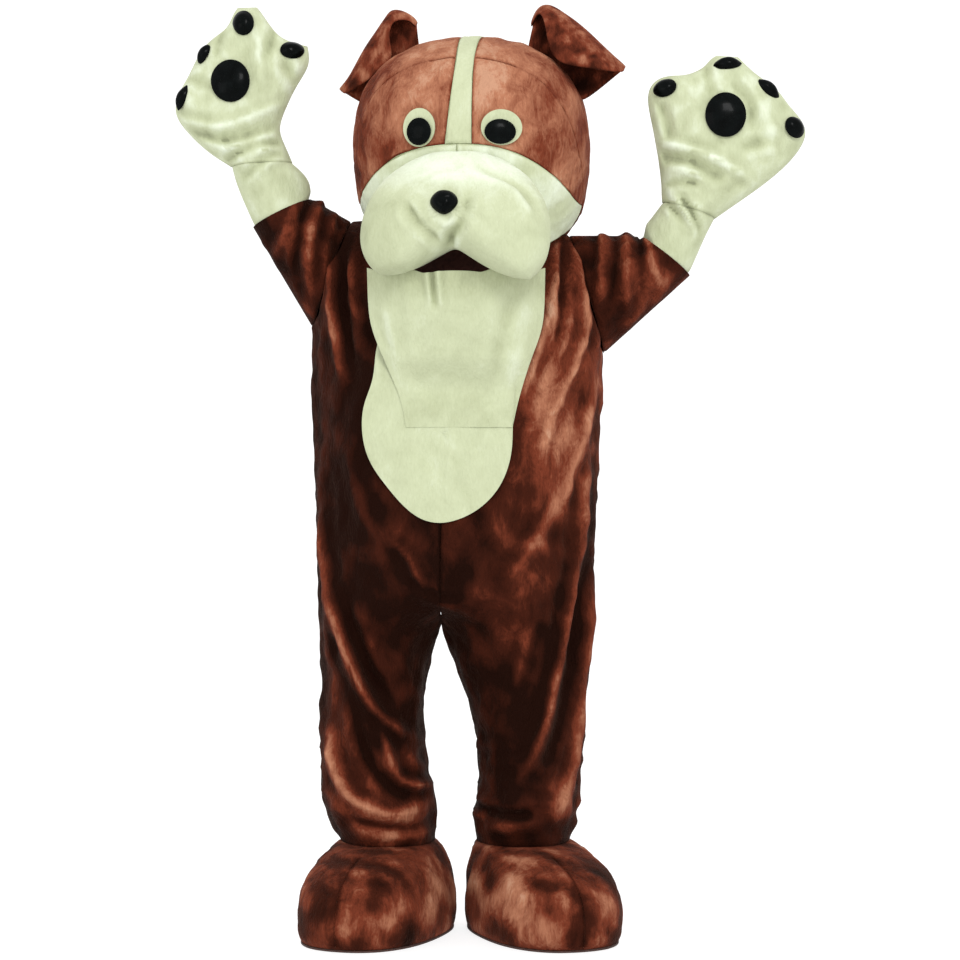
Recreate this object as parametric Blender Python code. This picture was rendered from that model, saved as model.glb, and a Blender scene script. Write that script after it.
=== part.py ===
"""Dog mascot costume, worn and filled out with no wearer: a plush jumpsuit with a white belly, a hollow
foam head with folded ears, jowls and a bib, two paw gloves and two padded feet. Metres, +Z up, the face
looks along -Y.

The origin is between the wearer's shoulders, at the root of the neck. Names end in _r and _l for the
wearer's right (-X) and left (+X). Every cloth piece is a wall on a surface worked out from two numbers, u
across it and v down it, and the pieces meet where a maker cuts them."""

import functools
import math
from collections import namedtuple

import bmesh
import bpy
import numpy as np

# ---------------------------------------------------------------- driving sizes

FLOOR_Z = -1.38
PLUSH = 0.003
FOAM = 0.008
SEAM_GAP = 0.0005
LAID_GAP = 0.0012
SEAT = 0.0006
RIGHT, LEFT = -1, 1
FRONT, BACK = -1, 1
SIDE_NAMES = {RIGHT: "r", LEFT: "l"}
SIDE_WORDS = {RIGHT: "right", LEFT: "left"}
PROBE = 1e-4
MOST_STEP = (0.15, 1.5)

HEM_Z = -1.205
ARMPIT = {RIGHT: (-0.294, 0.0, -0.187), LEFT: (0.288, 0.0, -0.237)}
SHOULDER = {RIGHT: (-0.215, 0.0, 0.030), LEFT: (0.215, 0.0, 0.004)}
ARMHOLE_HALF_DEPTH = 0.088
CUFF_LOW = {RIGHT: (-0.412, -0.03, 0.014), LEFT: (0.458, -0.03, -0.082)}
CUFF_HIGH = {RIGHT: (-0.292, -0.03, 0.072), LEFT: (0.352, -0.03, 0.000)}
CUFF_HALF_DEPTH = 0.064

HEAD_CENTRE = np.array([0.024, 0.0, 0.185])
HEAD_TURN = math.radians(-7)
HEAD_WIDTH, HEAD_DEPTH, HEAD_UP, HEAD_DOWN = 0.236, 0.235, 0.210, 0.285
HEAD_SQUARENESS = 2.35
SIDE_POINT_Z = 0.060
FRONT_RIM, WHITE_LINE, CROWN_SEAM, BLAZE_END, BACK_RIM = -30, 22, 55, 109, 205
WHITE_LINE_FALL, CROWN_SEAM_FALL = 34, 25
JAW_DROP = {RIGHT: 1, LEFT: 12}
JAW_ASIDE, JAW_WIDTH = 50, 16
SIDE_DROP, SIDE_ASIDE, SIDE_WIDTH = {RIGHT: 0, LEFT: 34}, 78, 14
POLE_PULL, POLE_LEAN = 0.0006, 0.01

MUZZLE_Z = 0.020
MUZZLE_FRONT = -0.352
MUZZLE_WIDEST = 0.72
MUZZLE_LIP, MUZZLE_TURN = 0.012, math.radians(80)


# ---------------------------------------------------------------- curves through tables


def curve(stations, values, at):
    """A smooth curve through values at rising stations that never overshoots them. Values may be numbers
    or points."""
    xs, ys = np.asarray(stations, float), np.asarray(values, float)
    at = np.asarray(at, float)
    flat = ys.ndim == 1
    ys = ys.reshape(len(xs), -1)
    gaps = np.diff(xs)[:, None]
    slopes = np.diff(ys, axis=0) / gaps
    inner = (slopes[:-1] * gaps[1:] + slopes[1:] * gaps[:-1]) / (gaps[:-1] + gaps[1:])
    limit = 3 * np.minimum(abs(slopes[:-1]), abs(slopes[1:]))
    inner = np.where(slopes[:-1] * slopes[1:] > 0, np.clip(inner, -limit, limit), 0)
    tangents = np.concatenate([slopes[:1], inner, slopes[-1:]])
    i = np.clip(np.searchsorted(xs, at, side="right") - 1, 0, len(xs) - 2)
    gap = gaps[i, 0][..., None]
    t = (at - xs[i])[..., None] / gap
    found = (
        ys[i] * (2 * t**3 - 3 * t**2 + 1)
        + ys[i + 1] * (3 * t**2 - 2 * t**3)
        + tangents[i] * gap * (t**3 - 2 * t**2 + t)
        + tangents[i + 1] * gap * (t**3 - t**2)
    )
    return found[..., 0] if flat else found


def column(table, name, at):
    """One named column of a table, as a smooth curve over the table's first column."""
    return curve([row[0] for row in table], [getattr(row, name) for row in table], at)


def straight(table, name, at):
    """One named column of a table, on straight lines between its rows."""
    return np.interp(at, [row[0] for row in table], [getattr(row, name) for row in table])


def unit(vectors):
    return vectors / np.maximum(np.linalg.norm(vectors, axis=-1, keepdims=True), 1e-12)


def points(x, y, z):
    return np.stack(np.broadcast_arrays(x, y, z), axis=-1).astype(float)


def smooth_step(x):
    t = np.clip(x, 0, 1)
    return t * t * (3 - 2 * t)


# ---------------------------------------------------------------- cloth walls


def normals_of(surface, u, v):
    """The surface's unit normals from points a hair to each side, so that pieces that share a seam share
    them."""
    du = surface(u + PROBE, v) - surface(u - PROBE, v)
    dv = surface(u, v + PROBE) - surface(u, v - PROBE)
    return unit(np.cross(du, dv))


def pull_in(grid, ring, pole):
    """The grid with half a seam's gap taken off each of its free edges."""
    moved = grid.copy()
    edges = [(-1, -2)] if pole else [(0, 1), (-1, -2)]
    for edge, inside in edges:
        moved[edge] += unit(grid[inside] - grid[edge]) * SEAM_GAP / 2
    if not ring:
        for edge, inside in [(0, 1), (-1, -2)]:
            moved[:, edge] += unit(grid[:, inside] - grid[:, edge]) * SEAM_GAP / 2
    return moved


def halves_of(corners, grid):
    """The two triangles of a grid's cell, split along its shorter diagonal."""
    a, b, c, d = (grid[i, j % grid.shape[1]] for i, j in corners)
    if np.linalg.norm(c - a) <= np.linalg.norm(d - b):
        return corners[:3], [corners[0], *corners[2:]]
    return corners[1:], [*corners[:2], corners[3]]


def wall(name, grid, normals, thickness, paint, ring=False, pole=False, lift=0.0, dome=None):
    """A closed wall on a grid of points, rows by columns. Its outer face lies on the points, or, with a
    lift, its inner face lies that far outside them. Ring joins the last column to the first, pole closes
    the first row to one point, and dome is what the outer face rises by over each point."""
    if pole:
        grid[0] = grid[0].mean(axis=0)
        normals[0] = unit(unit(normals[0].sum(axis=0)) + POLE_LEAN * unit(normals[1].sum(axis=0)))
    base = pull_in(grid, ring, pole)
    outward = lift + thickness if lift else 0.0
    rise = np.zeros(grid.shape[:2]) if dome is None else dome
    outer = base + normals * (outward + rise[..., None])
    inner = base + normals * (outward - thickness)
    rows, columns = grid.shape[:2]
    count = rows * columns
    vertices = np.concatenate([outer.reshape(-1, 3), inner.reshape(-1, 3)])

    def at(i, j, side):
        first = 0 if pole and i == 0 else j % columns
        return i * columns + first + side * count

    faces = []
    across = columns if ring else columns - 1
    for i in range(rows - 1):
        for j in range(across):
            for corners in halves_of([(i, j), (i, j + 1), (i + 1, j + 1), (i + 1, j)], outer):
                faces.append([at(*corner, 0) for corner in corners])
                faces.append([at(*corner, 1) for corner in reversed(corners)])
    rims = [((rows - 1, j + 1), (rows - 1, j)) for j in range(across)]
    if not pole:
        rims += [((0, j), (0, j + 1)) for j in range(across)]
    if not ring:
        rims += [((i + 1, 0), (i, 0)) for i in range(rows - 1)]
        rims += [((i, columns - 1), (i + 1, columns - 1)) for i in range(rows - 1)]
    for a, b in rims:
        faces.append([at(*a, 0), at(*a, 1), at(*b, 1), at(*b, 0)])
    return solid(name, vertices, faces, paint)


def solid(name, vertices, faces, paint):
    """An object of one closed mesh with its faces outward. Corners that a face names twice are taken once."""
    shape = bmesh.new()
    corners = [shape.verts.new(v) for v in vertices]
    for face in faces:
        once = list(dict.fromkeys(face))
        if len(once) > 2:
            shape.faces.new([corners[i] for i in once])
    bmesh.ops.delete(shape, geom=[v for v in shape.verts if not v.link_faces], context="VERTS")
    bmesh.ops.recalc_face_normals(shape, faces=shape.faces)
    if shape.calc_volume(signed=True) < 0:
        bmesh.ops.reverse_faces(shape, faces=shape.faces)
    bmesh.ops.triangulate(shape, faces=[face for face in shape.faces if len(face.verts) > 3])
    mesh = bpy.data.meshes.new(name)
    shape.to_mesh(mesh)
    shape.free()
    mesh.materials.append(paint)
    mesh.shade_smooth()
    piece = bpy.data.objects.new(name, mesh)
    costume.objects.link(piece)
    return piece


def panel(name, surface, across, down, thickness, paint, flip=False, square=None, **options):
    """A wall on surface(u, v), with a column for each u in across and a row for each v in down. Square
    changes the normals of edges where two pieces meet at a ridge, so that the thickness of each stays on
    its own side."""
    v, u = np.meshgrid(np.asarray(down, float), np.asarray(across, float), indexing="ij")
    normals = normals_of(surface, u, v) * (-1 if flip else 1)
    if square:
        square(normals, u, v)
    return wall(name, surface(u, v), normals, thickness, paint, **options)


def pad(name, surface, spokes, rings, thickness, height, paint, flip=False, lift=LAID_GAP):
    """A domed pad on surface(angle, share): share runs from its middle (0) to its edge (1)."""
    around = np.linspace(0, 2 * math.pi, spokes, endpoint=False)
    share, angle = np.meshgrid(np.linspace(0, 1, rings + 1), around, indexing="ij")
    near = np.maximum(share, 0.02)
    normals = normals_of(surface, angle, near)
    dome = (height - thickness) * np.sqrt(np.clip(1 - share**2, 0, 1))
    faces_out = -normals if flip else normals
    grid = surface(angle, near)
    return wall(name, grid, faces_out, thickness, paint, ring=True, pole=True, lift=lift, dome=dome)


def find_on(surface, a, b, start, ways=((1, 0, 0), (0, 0, 1))):
    """The (u, v) where a surface is at a along the first way and at b along the second, by Newton's method."""
    first, second = np.array(ways[0]), np.array(ways[1])
    u, v = np.full(np.shape(a), start[0], float), np.full(np.shape(a), start[1], float)
    for _ in range(40):
        here = surface(u, v)
        du = (surface(u + PROBE, v) - surface(u - PROBE, v)) / (2 * PROBE)
        dv = (surface(u, v + PROBE) - surface(u, v - PROBE)) / (2 * PROBE)
        off_a, off_b = a - here @ first, b - here @ second
        scale = (du @ first) * (dv @ second) - (du @ second) * (dv @ first)
        scale = np.where(abs(scale) < 1e-12, 1e-12, scale)
        step_u = (off_a * (dv @ second) - off_b * (dv @ first)) / scale
        step_v = (off_b * (du @ first) - off_a * (du @ second)) / scale
        size = np.maximum(1.0, np.maximum(abs(step_u) / MOST_STEP[0], abs(step_v) / MOST_STEP[1]))
        u, v = u + step_u / size, v + step_v / size
    return u, v


def material(name, colour, roughness):
    made = bpy.data.materials.new(name)
    made.use_nodes = True
    shader = made.node_tree.nodes["Principled BSDF"]
    shader.inputs["Base Color"].default_value = (*colour, 1.0)
    shader.inputs["Roughness"].default_value = roughness
    return made


# ---------------------------------------------------------------- the jumpsuit

# The body's outline seen from the front: the side seams, and the inside of each leg or the centre line
# above them.
Outline = namedtuple("Outline", "z side_r side_l inside_r inside_l")
OUTLINE = [
    Outline(-1.21, -0.236, 0.218, -0.048, 0.034),
    Outline(-1.17, -0.254, 0.228, -0.056, 0.028),
    Outline(-1.13, -0.270, 0.235, -0.050, 0.030),
    Outline(-1.087, -0.275, 0.238, -0.060, 0.042),
    Outline(-1.007, -0.280, 0.246, -0.072, 0.037),
    Outline(-0.927, -0.278, 0.254, -0.074, 0.016),
    Outline(-0.847, -0.279, 0.261, -0.060, -0.012),
    Outline(-0.770, -0.282, 0.266, -0.037, -0.037),
    Outline(-0.647, -0.286, 0.270, -0.037, -0.037),
    Outline(-0.527, -0.290, 0.276, -0.034, -0.034),
    Outline(-0.407, -0.292, 0.278, -0.028, -0.028),
    Outline(-0.287, -0.296, 0.282, -0.020, -0.020),
    Outline(-0.237, -0.295, 0.288, -0.016, -0.016),
    Outline(-0.187, -0.294, 0.290, -0.012, -0.012),
    Outline(0.040, -0.294, 0.290, -0.008, -0.008),
]

# The cut from the shoulder seam (row 0) to the hem. arm is the angle up round the armhole from the
# armpit; down is the share of the side seam passed; aside is the neckline's distance from the centre;
# front and back are the depths; front_z and back_z are where the row meets the centre seam or the inside
# leg; turn is how far round it goes from the side seam, 90 degrees on the body and 180 round a leg; round
# is 0 where the row is straight and 1 where it is curved.
Section = namedtuple("Section", "row arm down aside front back front_z back_z turn round")
SECTIONS = [
    Section(0, 180, 0, 0.105, 0.000, 0.000, 0.038, 0.038, 90, 0.0),
    Section(1, 150, 0, 0.085, 0.070, 0.055, -0.004, 0.026, 90, 0.2),
    Section(2, 120, 0, 0.040, 0.118, 0.090, -0.050, 0.010, 90, 0.4),
    Section(3, 92, 0, 0.000, 0.140, 0.110, -0.085, -0.020, 90, 0.6),
    Section(4, 62, 0, 0, 0.154, 0.125, -0.118, -0.080, 90, 0.8),
    Section(5, 31, 0, 0, 0.164, 0.138, -0.160, -0.145, 90, 0.95),
    Section(6, 0, 0, 0, 0.174, 0.148, -0.215, -0.210, 90, 1.0),
    Section(10, 0, 0.20, 0, 0.198, 0.158, -0.400, -0.400, 90, 1.0),
    Section(13, 0, 0.35, 0, 0.204, 0.172, -0.550, -0.550, 90, 1.0),
    Section(15, 0, 0.44, 0, 0.194, 0.184, -0.650, -0.650, 90, 1.0),
    Section(17, 0, 0.52, 0, 0.172, 0.184, -0.728, -0.728, 112, 1.0),
    Section(18, 0, 0.56, 0, 0.158, 0.172, -0.756, -0.756, 145, 1.0),
    Section(19, 0, 0.60, 0, 0.142, 0.156, -0.775, -0.775, 180, 1.0),
    Section(22, 0, 0.74, 0, 0.129, 0.138, -0.935, -0.935, 180, 1.0),
    Section(25, 0, 0.88, 0, 0.122, 0.124, -1.075, -1.075, 180, 1.0),
    Section(27, 0, 0.955, 0, 0.120, 0.118, -1.158, -1.158, 180, 1.0),
    Section(28, 0, 1.0, 0, 0.109, 0.106, HEM_Z, HEM_Z, 180, 1.0),
]
LAST_ROW = 28
ARMHOLE_ROWS = 6
SUIT_COLUMNS = 11
CROTCH_ROW = 15
PLACKET_EDGE = 0.93
BELLY_GAP = 0.0022
BODY_SQUARENESS = 0.86
ARMHOLE_STEPS = np.linspace(0, ARMHOLE_ROWS, 9)
BODY_STEPS = [8, 10, 11.5, 13, 14.5, 16, 17, 18, 19, 20, 21.5, 23, 24.5, 26, 27, 28]
SUIT_STEPS = np.concatenate([ARMHOLE_STEPS, BODY_STEPS])

# Folds: how far the cloth stands out along a line seen from the front as (x, z) points, and the fold's
# half width.
Fold = namedtuple("Fold", "face height width line")
FOLDS = [
    Fold(FRONT, 0.016, 0.026, [(0.262, -0.22), (0.258, -0.39), (0.226, -0.64), (0.203, -0.80),
        (0.180, -0.91), (0.150, -1.05), (0.080, -1.15)]),
    Fold(FRONT, -0.016, 0.022, [(0.256, -0.60), (0.236, -0.80), (0.216, -0.92), (0.192, -1.05)]),
    Fold(FRONT, 0.018, 0.026, [(-0.262, -0.66), (-0.226, -0.80), (-0.186, -0.92), (-0.120, -1.01),
        (-0.085, -1.05)]),
    Fold(FRONT, -0.015, 0.020, [(-0.226, -0.72), (-0.190, -0.82), (-0.150, -0.90), (-0.105, -0.965)]),
    Fold(FRONT, 0.018, 0.024, [(-0.262, -1.04), (-0.222, -1.10), (-0.150, -1.14), (-0.070, -1.145)]),
    Fold(FRONT, 0.012, 0.022, [(0.215, -1.06), (0.170, -1.10), (0.060, -1.125)]),
    Fold(FRONT, 0.012, 0.020, [(-0.258, -0.06), (-0.250, -0.26), (-0.205, -0.40)]),
    Fold(FRONT, -0.014, 0.016, [(-0.222, -0.04), (-0.218, -0.16), (-0.205, -0.30)]),
    Fold(FRONT, 0.012, 0.018, [(-0.180, -0.06), (-0.178, -0.24), (-0.190, -0.36)]),
    Fold(FRONT, 0.014, 0.018, [(0.282, -0.08), (0.262, -0.19), (0.250, -0.30)]),
    Fold(FRONT, -0.009, 0.018, [(0.246, -0.06), (0.240, -0.19), (0.226, -0.30)]),
    Fold(FRONT, 0.010, 0.020, [(0.210, -0.06), (0.212, -0.19), (0.190, -0.32)]),
    Fold(FRONT, 0.010, 0.030, [(-0.215, -0.50), (-0.130, -0.62), (-0.070, -0.70)]),
    Fold(FRONT, 0.012, 0.030, [(0.160, -0.46), (0.155, -0.60), (0.115, -0.76), (0.130, -0.92)]),
    Fold(BACK, 0.014, 0.026, [(-0.215, -0.12), (-0.225, -0.35), (-0.190, -0.62), (-0.160, -0.85)]),
    Fold(BACK, -0.012, 0.022, [(-0.160, -0.16), (-0.165, -0.40), (-0.135, -0.60)]),
    Fold(BACK, 0.014, 0.026, [(0.220, -0.14), (0.215, -0.38), (0.175, -0.64), (0.190, -0.90)]),
    Fold(BACK, -0.012, 0.022, [(0.160, -0.16), (0.155, -0.40), (0.120, -0.60)]),
    Fold(BACK, 0.014, 0.024, [(-0.225, -0.82), (-0.150, -0.87), (-0.095, -0.85)]),
    Fold(BACK, 0.014, 0.024, [(0.215, -0.80), (0.120, -0.86), (0.050, -0.85)]),
    Fold(BACK, 0.012, 0.028, [(-0.240, -1.02), (-0.160, -1.08), (-0.090, -1.06)]),
    Fold(BACK, 0.012, 0.028, [(0.215, -1.00), (0.130, -1.06), (0.060, -1.04)]),
]

# The belly patch: its outline's distance from a middle point, by the angle from the bottom, round by the
# wearer's left.
BELLY_MIDDLE = (-0.038, -0.395)
BELLY_REACH = [
    (0, 0.177), (20, 0.170), (45, 0.158), (68, 0.146), (92, 0.140), (136, 0.195), (160, 0.238),
    (180, 0.247), (200, 0.240), (215, 0.217), (229, 0.167), (250, 0.156), (283, 0.147), (308, 0.144),
    (333, 0.157), (344, 0.170), (360, 0.177),
]


def away_from_line(x, z, line):
    """How far each point (x, z) is from a line through points."""
    nearest = np.full(np.shape(x), np.inf)
    for (ax, az), (bx, bz) in zip(line[:-1], line[1:]):
        dx, dz = bx - ax, bz - az
        t = np.clip(((x - ax) * dx + (z - az) * dz) / (dx * dx + dz * dz), 0, 1)
        nearest = np.minimum(nearest, np.hypot(x - ax - t * dx, z - az - t * dz))
    return nearest


def folds_at(x, z, face):
    """How far the cloth stands out at (x, z), seen from the front or the back."""
    total = np.zeros(np.shape(x))
    for fold in FOLDS:
        if fold.face == face:
            total += fold.height * np.exp(-((away_from_line(x, z, fold.line) / fold.width) ** 2))
    return total


def round_armhole(side, face, angle):
    """A point of the armhole, angle radians up from the armpit."""
    low, high = np.array(ARMPIT[side]), np.array(SHOULDER[side])
    angle = np.asarray(angle, float)[..., None]
    out = np.array([0.0, face * ARMHOLE_HALF_DEPTH, 0.0])
    return (low + high) / 2 - np.cos(angle) * (high - low) / 2 + np.sin(angle) * out


def suit_surface(side, face):
    """The suit's cloth on one side, front or back: u runs from the side seam (0) to the centre or the
    inside leg (1), and v down the rows of SECTIONS."""
    depth_name, z_name = ("front", "front_z") if face == FRONT else ("back", "back_z")
    side_name, inside_name = "side_" + SIDE_NAMES[side], "inside_" + SIDE_NAMES[side]
    armpit_z = ARMPIT[side][2]

    def surface(u, v):
        arm = np.radians(column(SECTIONS, "arm", v))
        side_z = armpit_z + straight(SECTIONS, "down", v) * (HEM_Z - armpit_z)
        armhole = round_armhole(side, face, arm)
        below = v > ARMHOLE_ROWS
        outer_x = np.where(below, column(OUTLINE, side_name, side_z), armhole[..., 0])
        outer_y = np.where(below, 0.0, armhole[..., 1])
        outer_z = np.where(below, side_z, armhole[..., 2])
        inner_z = column(SECTIONS, z_name, v)
        inner_x = column(OUTLINE, inside_name, inner_z) + side * column(SECTIONS, "aside", v)
        depth = face * column(SECTIONS, depth_name, v)
        turn = np.radians(column(SECTIONS, "turn", v))
        roundness = column(SECTIONS, "round", v)
        angle = u * turn
        bend = np.sign(np.cos(angle)) * abs(np.cos(angle)) ** BODY_SQUARENESS
        end = np.sign(np.cos(turn)) * abs(np.cos(turn)) ** BODY_SQUARENESS
        end = np.where(turn < math.radians(91), 0.0, end)
        share = u * (1 - roundness) + (1 - bend) / (1 - end) * roundness
        deep = u * (1 - roundness) + np.sin(angle) * roundness
        x = outer_x + (inner_x - outer_x) * share
        y = outer_y + (depth - outer_y) * deep
        z = outer_z + (inner_z - outer_z) * share
        fade = np.clip(abs(np.sin(angle)) * 1.4 - 0.25, 0, 1) * smooth_step((v - 1) / 3)
        fade = fade * smooth_step((LAST_ROW + 0.4 - v) / 2)
        return points(x, y + face * folds_at(x, z, face) * fade, z)

    return surface


def front_of_suit(x, z):
    """Points of the suit's front at the given x and z, whichever side of the centre seam they are on."""
    middle = column(OUTLINE, "inside_r", z)
    found = np.zeros(np.shape(x) + (3,))
    for side in (RIGHT, LEFT):
        surface = suit_surface(side, FRONT)
        here = surface(*find_on(surface, x, z, (0.8, 10.0)))
        chosen = (x - middle) * side >= 0
        found[chosen] = here[chosen]
    return found


def square_seams(normals, u, v):
    """Turns the cloth's edges straight up along the shoulder seam and straight out along the centre seams."""
    normals[..., 1] = np.where(v == 0, 0, normals[..., 1])
    normals[..., 0] = np.where((u == 1) & (v <= CROTCH_ROW), 0, normals[..., 0])
    normals[:] = unit(normals)


def build_suit(brown, white):
    across = np.linspace(0, 1, SUIT_COLUMNS + 1)
    for side in (RIGHT, LEFT):
        for face, face_name in ((FRONT, "front"), (BACK, "back")):
            name = f"suit_{face_name}_{SIDE_NAMES[side]}"
            flip = side * face > 0
            panel(name, suit_surface(side, face), across, SUIT_STEPS, PLUSH, brown, flip, square_seams)
        build_sleeve(side, brown)

    def belly(angle, share):
        reach = curve(*zip(*BELLY_REACH), np.degrees(angle) % 360) * share
        x = BELLY_MIDDLE[0] + np.sin(angle) * reach
        z = BELLY_MIDDLE[1] - np.cos(angle) * reach
        return front_of_suit(x, z)

    pad("belly_patch", belly, 30, 5, PLUSH, PLUSH, white, flip=True, lift=BELLY_GAP)

    def placket(u, v):
        right, left = suit_surface(RIGHT, BACK), suit_surface(LEFT, BACK)
        edge = np.full(np.shape(u), PLACKET_EDGE)
        middle = right(np.ones(np.shape(u)), v)
        aside = np.where((u > 0)[..., None], left(edge, v), right(edge, v))
        return middle + (aside - middle) * abs(u)[..., None]

    panel("back_placket", placket, [-1, 0, 1], np.linspace(3.1, 14, 12), PLUSH, brown, lift=LAID_GAP)


# ---------------------------------------------------------------- sleeves and gloves


SLEEVE_STEPS = [0.25, 0.5, 0.75, 1]
SLEEVE_START = 0.004


def sleeve_surface(side):
    """The sleeve's cloth: u is the angle round from the underarm by the front, v runs from the armhole to
    the cuff."""
    low_in, high_in = np.array(ARMPIT[side]), np.array(SHOULDER[side])
    low_out, high_out = np.array(CUFF_LOW[side]), np.array(CUFF_HIGH[side])

    def surface(u, v):
        t = v[..., None]
        low, high = low_in + t * (low_out - low_in), high_in + t * (high_out - high_in)
        depth = ARMHOLE_HALF_DEPTH + v * (CUFF_HALF_DEPTH - ARMHOLE_HALF_DEPTH) + 0.012 * np.sin(math.pi * v)
        found = (low + high) / 2 - np.cos(u)[..., None] * (high - low) / 2
        waves = 0.006 * np.sin(math.pi * v) * np.sin(5 * u + 0.6)
        found[..., 1] -= np.sin(u) * depth + waves
        return found

    return surface


def arm_ring():
    """The angles round an arm at which the armhole, the sleeve and the glove's cuff have their points."""
    up = np.radians(column(SECTIONS, "arm", ARMHOLE_STEPS))[::-1]
    up[0], up[-1] = 0, math.pi
    return np.concatenate([up, 2 * math.pi - up[1:-1][::-1]])


def build_sleeve(side, brown):
    name = f"sleeve_{SIDE_NAMES[side]}"
    steps = [SLEEVE_START, *SLEEVE_STEPS]
    panel(name, sleeve_surface(side), arm_ring(), steps, PLUSH, brown, flip=side > 0, ring=True)


# A glove from its cuff, inside the sleeve, to the finger tips: the two edges seen from the front, and its
# half depth.
Mitt = namedtuple("Mitt", "row low_x low_z high_x high_z depth y")
MITTS = {
    RIGHT: [
        Mitt(2, -0.446, 0.100, -0.296, 0.112, 0.058, -0.040),
        Mitt(3, -0.452, 0.132, -0.331, 0.140, 0.055, -0.050),
        Mitt(4, -0.497, 0.159, -0.347, 0.178, 0.053, -0.058),
        Mitt(5, -0.540, 0.200, -0.360, 0.206, 0.052, -0.062),
        Mitt(6, -0.566, 0.236, -0.342, 0.250, 0.050, -0.064),
        Mitt(7, -0.556, 0.276, -0.322, 0.292, 0.047, -0.066),
        Mitt(8, -0.534, 0.310, -0.293, 0.332, 0.042, -0.068),
        Mitt(9, -0.519, 0.345, -0.300, 0.368, 0.036, -0.069),
        Mitt(10, -0.498, 0.377, -0.352, 0.381, 0.030, -0.070),
        Mitt(11, -0.462, 0.400, -0.373, 0.408, 0.027, -0.070),
        Mitt(12, -0.446, 0.432, -0.391, 0.434, 0.023, -0.070),
        Mitt(12.6, -0.438, 0.444, -0.400, 0.445, 0.021, -0.070),
    ],
    LEFT: [
        Mitt(2, 0.482, -0.018, 0.368, 0.022, 0.058, -0.040),
        Mitt(3, 0.505, 0.030, 0.400, 0.062, 0.055, -0.050),
        Mitt(4, 0.560, 0.068, 0.398, 0.110, 0.053, -0.058),
        Mitt(5, 0.609, 0.102, 0.390, 0.160, 0.052, -0.062),
        Mitt(6, 0.659, 0.146, 0.380, 0.214, 0.050, -0.064),
        Mitt(7, 0.688, 0.192, 0.369, 0.260, 0.047, -0.066),
        Mitt(8, 0.676, 0.224, 0.374, 0.292, 0.042, -0.068),
        Mitt(9, 0.646, 0.254, 0.402, 0.312, 0.036, -0.069),
        Mitt(10, 0.628, 0.284, 0.446, 0.309, 0.030, -0.070),
        Mitt(11, 0.588, 0.310, 0.478, 0.324, 0.027, -0.070),
        Mitt(12, 0.560, 0.336, 0.494, 0.342, 0.023, -0.070),
        Mitt(12.6, 0.549, 0.347, 0.506, 0.350, 0.021, -0.070),
    ],
}
TIP_START, LAST_MITT_ROW = 11.4, 12.6
PALM_PADS = {RIGHT: (-0.448, 0.294, 0.039, 0.043), LEFT: (0.520, 0.227, 0.041, 0.045)}
# Each claw's middle seen from the front, its half length and half width along the mitten, the way its
# length points in degrees, and how far over the mitten it sits, in millimetres.
Claw = namedtuple("Claw", "x z long wide angle seat")
CLAWS = {
    RIGHT: [
        Claw(-0.425, 0.408, 0.026, 0.021, 95, 1.25),
        Claw(-0.504, 0.350, 0.022, 0.013, 62, 0.5),
        Claw(-0.548, 0.264, 0.026, 0.013, 66, 0.3),
        Claw(-0.327, 0.357, 0.026, 0.018, 8, 0.3),
    ],
    LEFT: [
        Claw(0.402, 0.284, 0.025, 0.019, 8, 0.6),
        Claw(0.525, 0.331, 0.027, 0.013, 4, 0.8),
        Claw(0.609, 0.284, 0.027, 0.014, 147, 0.8),
        Claw(0.660, 0.205, 0.024, 0.021, 150, 0.6),
    ],
}
TIP_LEAN = 0.08
CUFF_GAP = 0.0009
CUFF_START = SLEEVE_STEPS[-2]
CUFF_STEPS = [0, 1, 1.35, 1.7, 2.3, 3]
TOE_SWELL, TOE_WIDTH = 0.010, 0.034


def glove_surface(side):
    """The glove's cloth: u is the angle round from the low edge by the palm, v runs from inside the
    sleeve (0) along the cuff to the finger tips."""
    sleeve = sleeve_surface(side)
    table = MITTS[side]
    lining = PLUSH + CUFF_GAP

    def inside_sleeve(u, t):
        found = sleeve(u, t)
        return found + normals_of(sleeve, u, t) * lining * side

    def surface(u, v):
        far = np.maximum(v, 2.0)
        low = points(column(table, "low_x", far), column(table, "y", far), column(table, "low_z", far))
        high = points(column(table, "high_x", far), column(table, "y", far), column(table, "high_z", far))
        found = (low + high) / 2 - np.cos(u)[..., None] * (high - low) / 2
        toes = np.zeros(np.shape(v))
        for claw in CLAWS[side]:
            away = (found[..., 0] - claw.x) ** 2 + (found[..., 2] - claw.z) ** 2
            toes += np.exp(-away / TOE_WIDTH**2)
        past = (LAST_MITT_ROW - v) / (LAST_MITT_ROW - TIP_START)
        close = np.sign(past) * np.sqrt(np.clip(1 - (1 - np.clip(abs(past), 0, 1)) ** 2, 0, 1))
        found[..., 1] -= np.sin(u) * (column(table, "depth", far) + TOE_SWELL * toes) * close
        near = inside_sleeve(u, CUFF_START + (1 - CUFF_START) * np.minimum(v, 1.0))
        blend = smooth_step(v - 1)[..., None]
        return near + (found - near) * blend

    return surface


def square_tips(normals, u, v):
    """Gives the tip's two ends, where the cloth closes to a line, the directions of the points beside
    them, and leans the tip's inside away from the other half."""
    normals[-1, 0], normals[-1, -1] = normals[-1, 1], normals[-1, -2]
    normals[-1, :, 1] += TIP_LEAN * np.sign(np.sin(u[-1].mean()))


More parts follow.
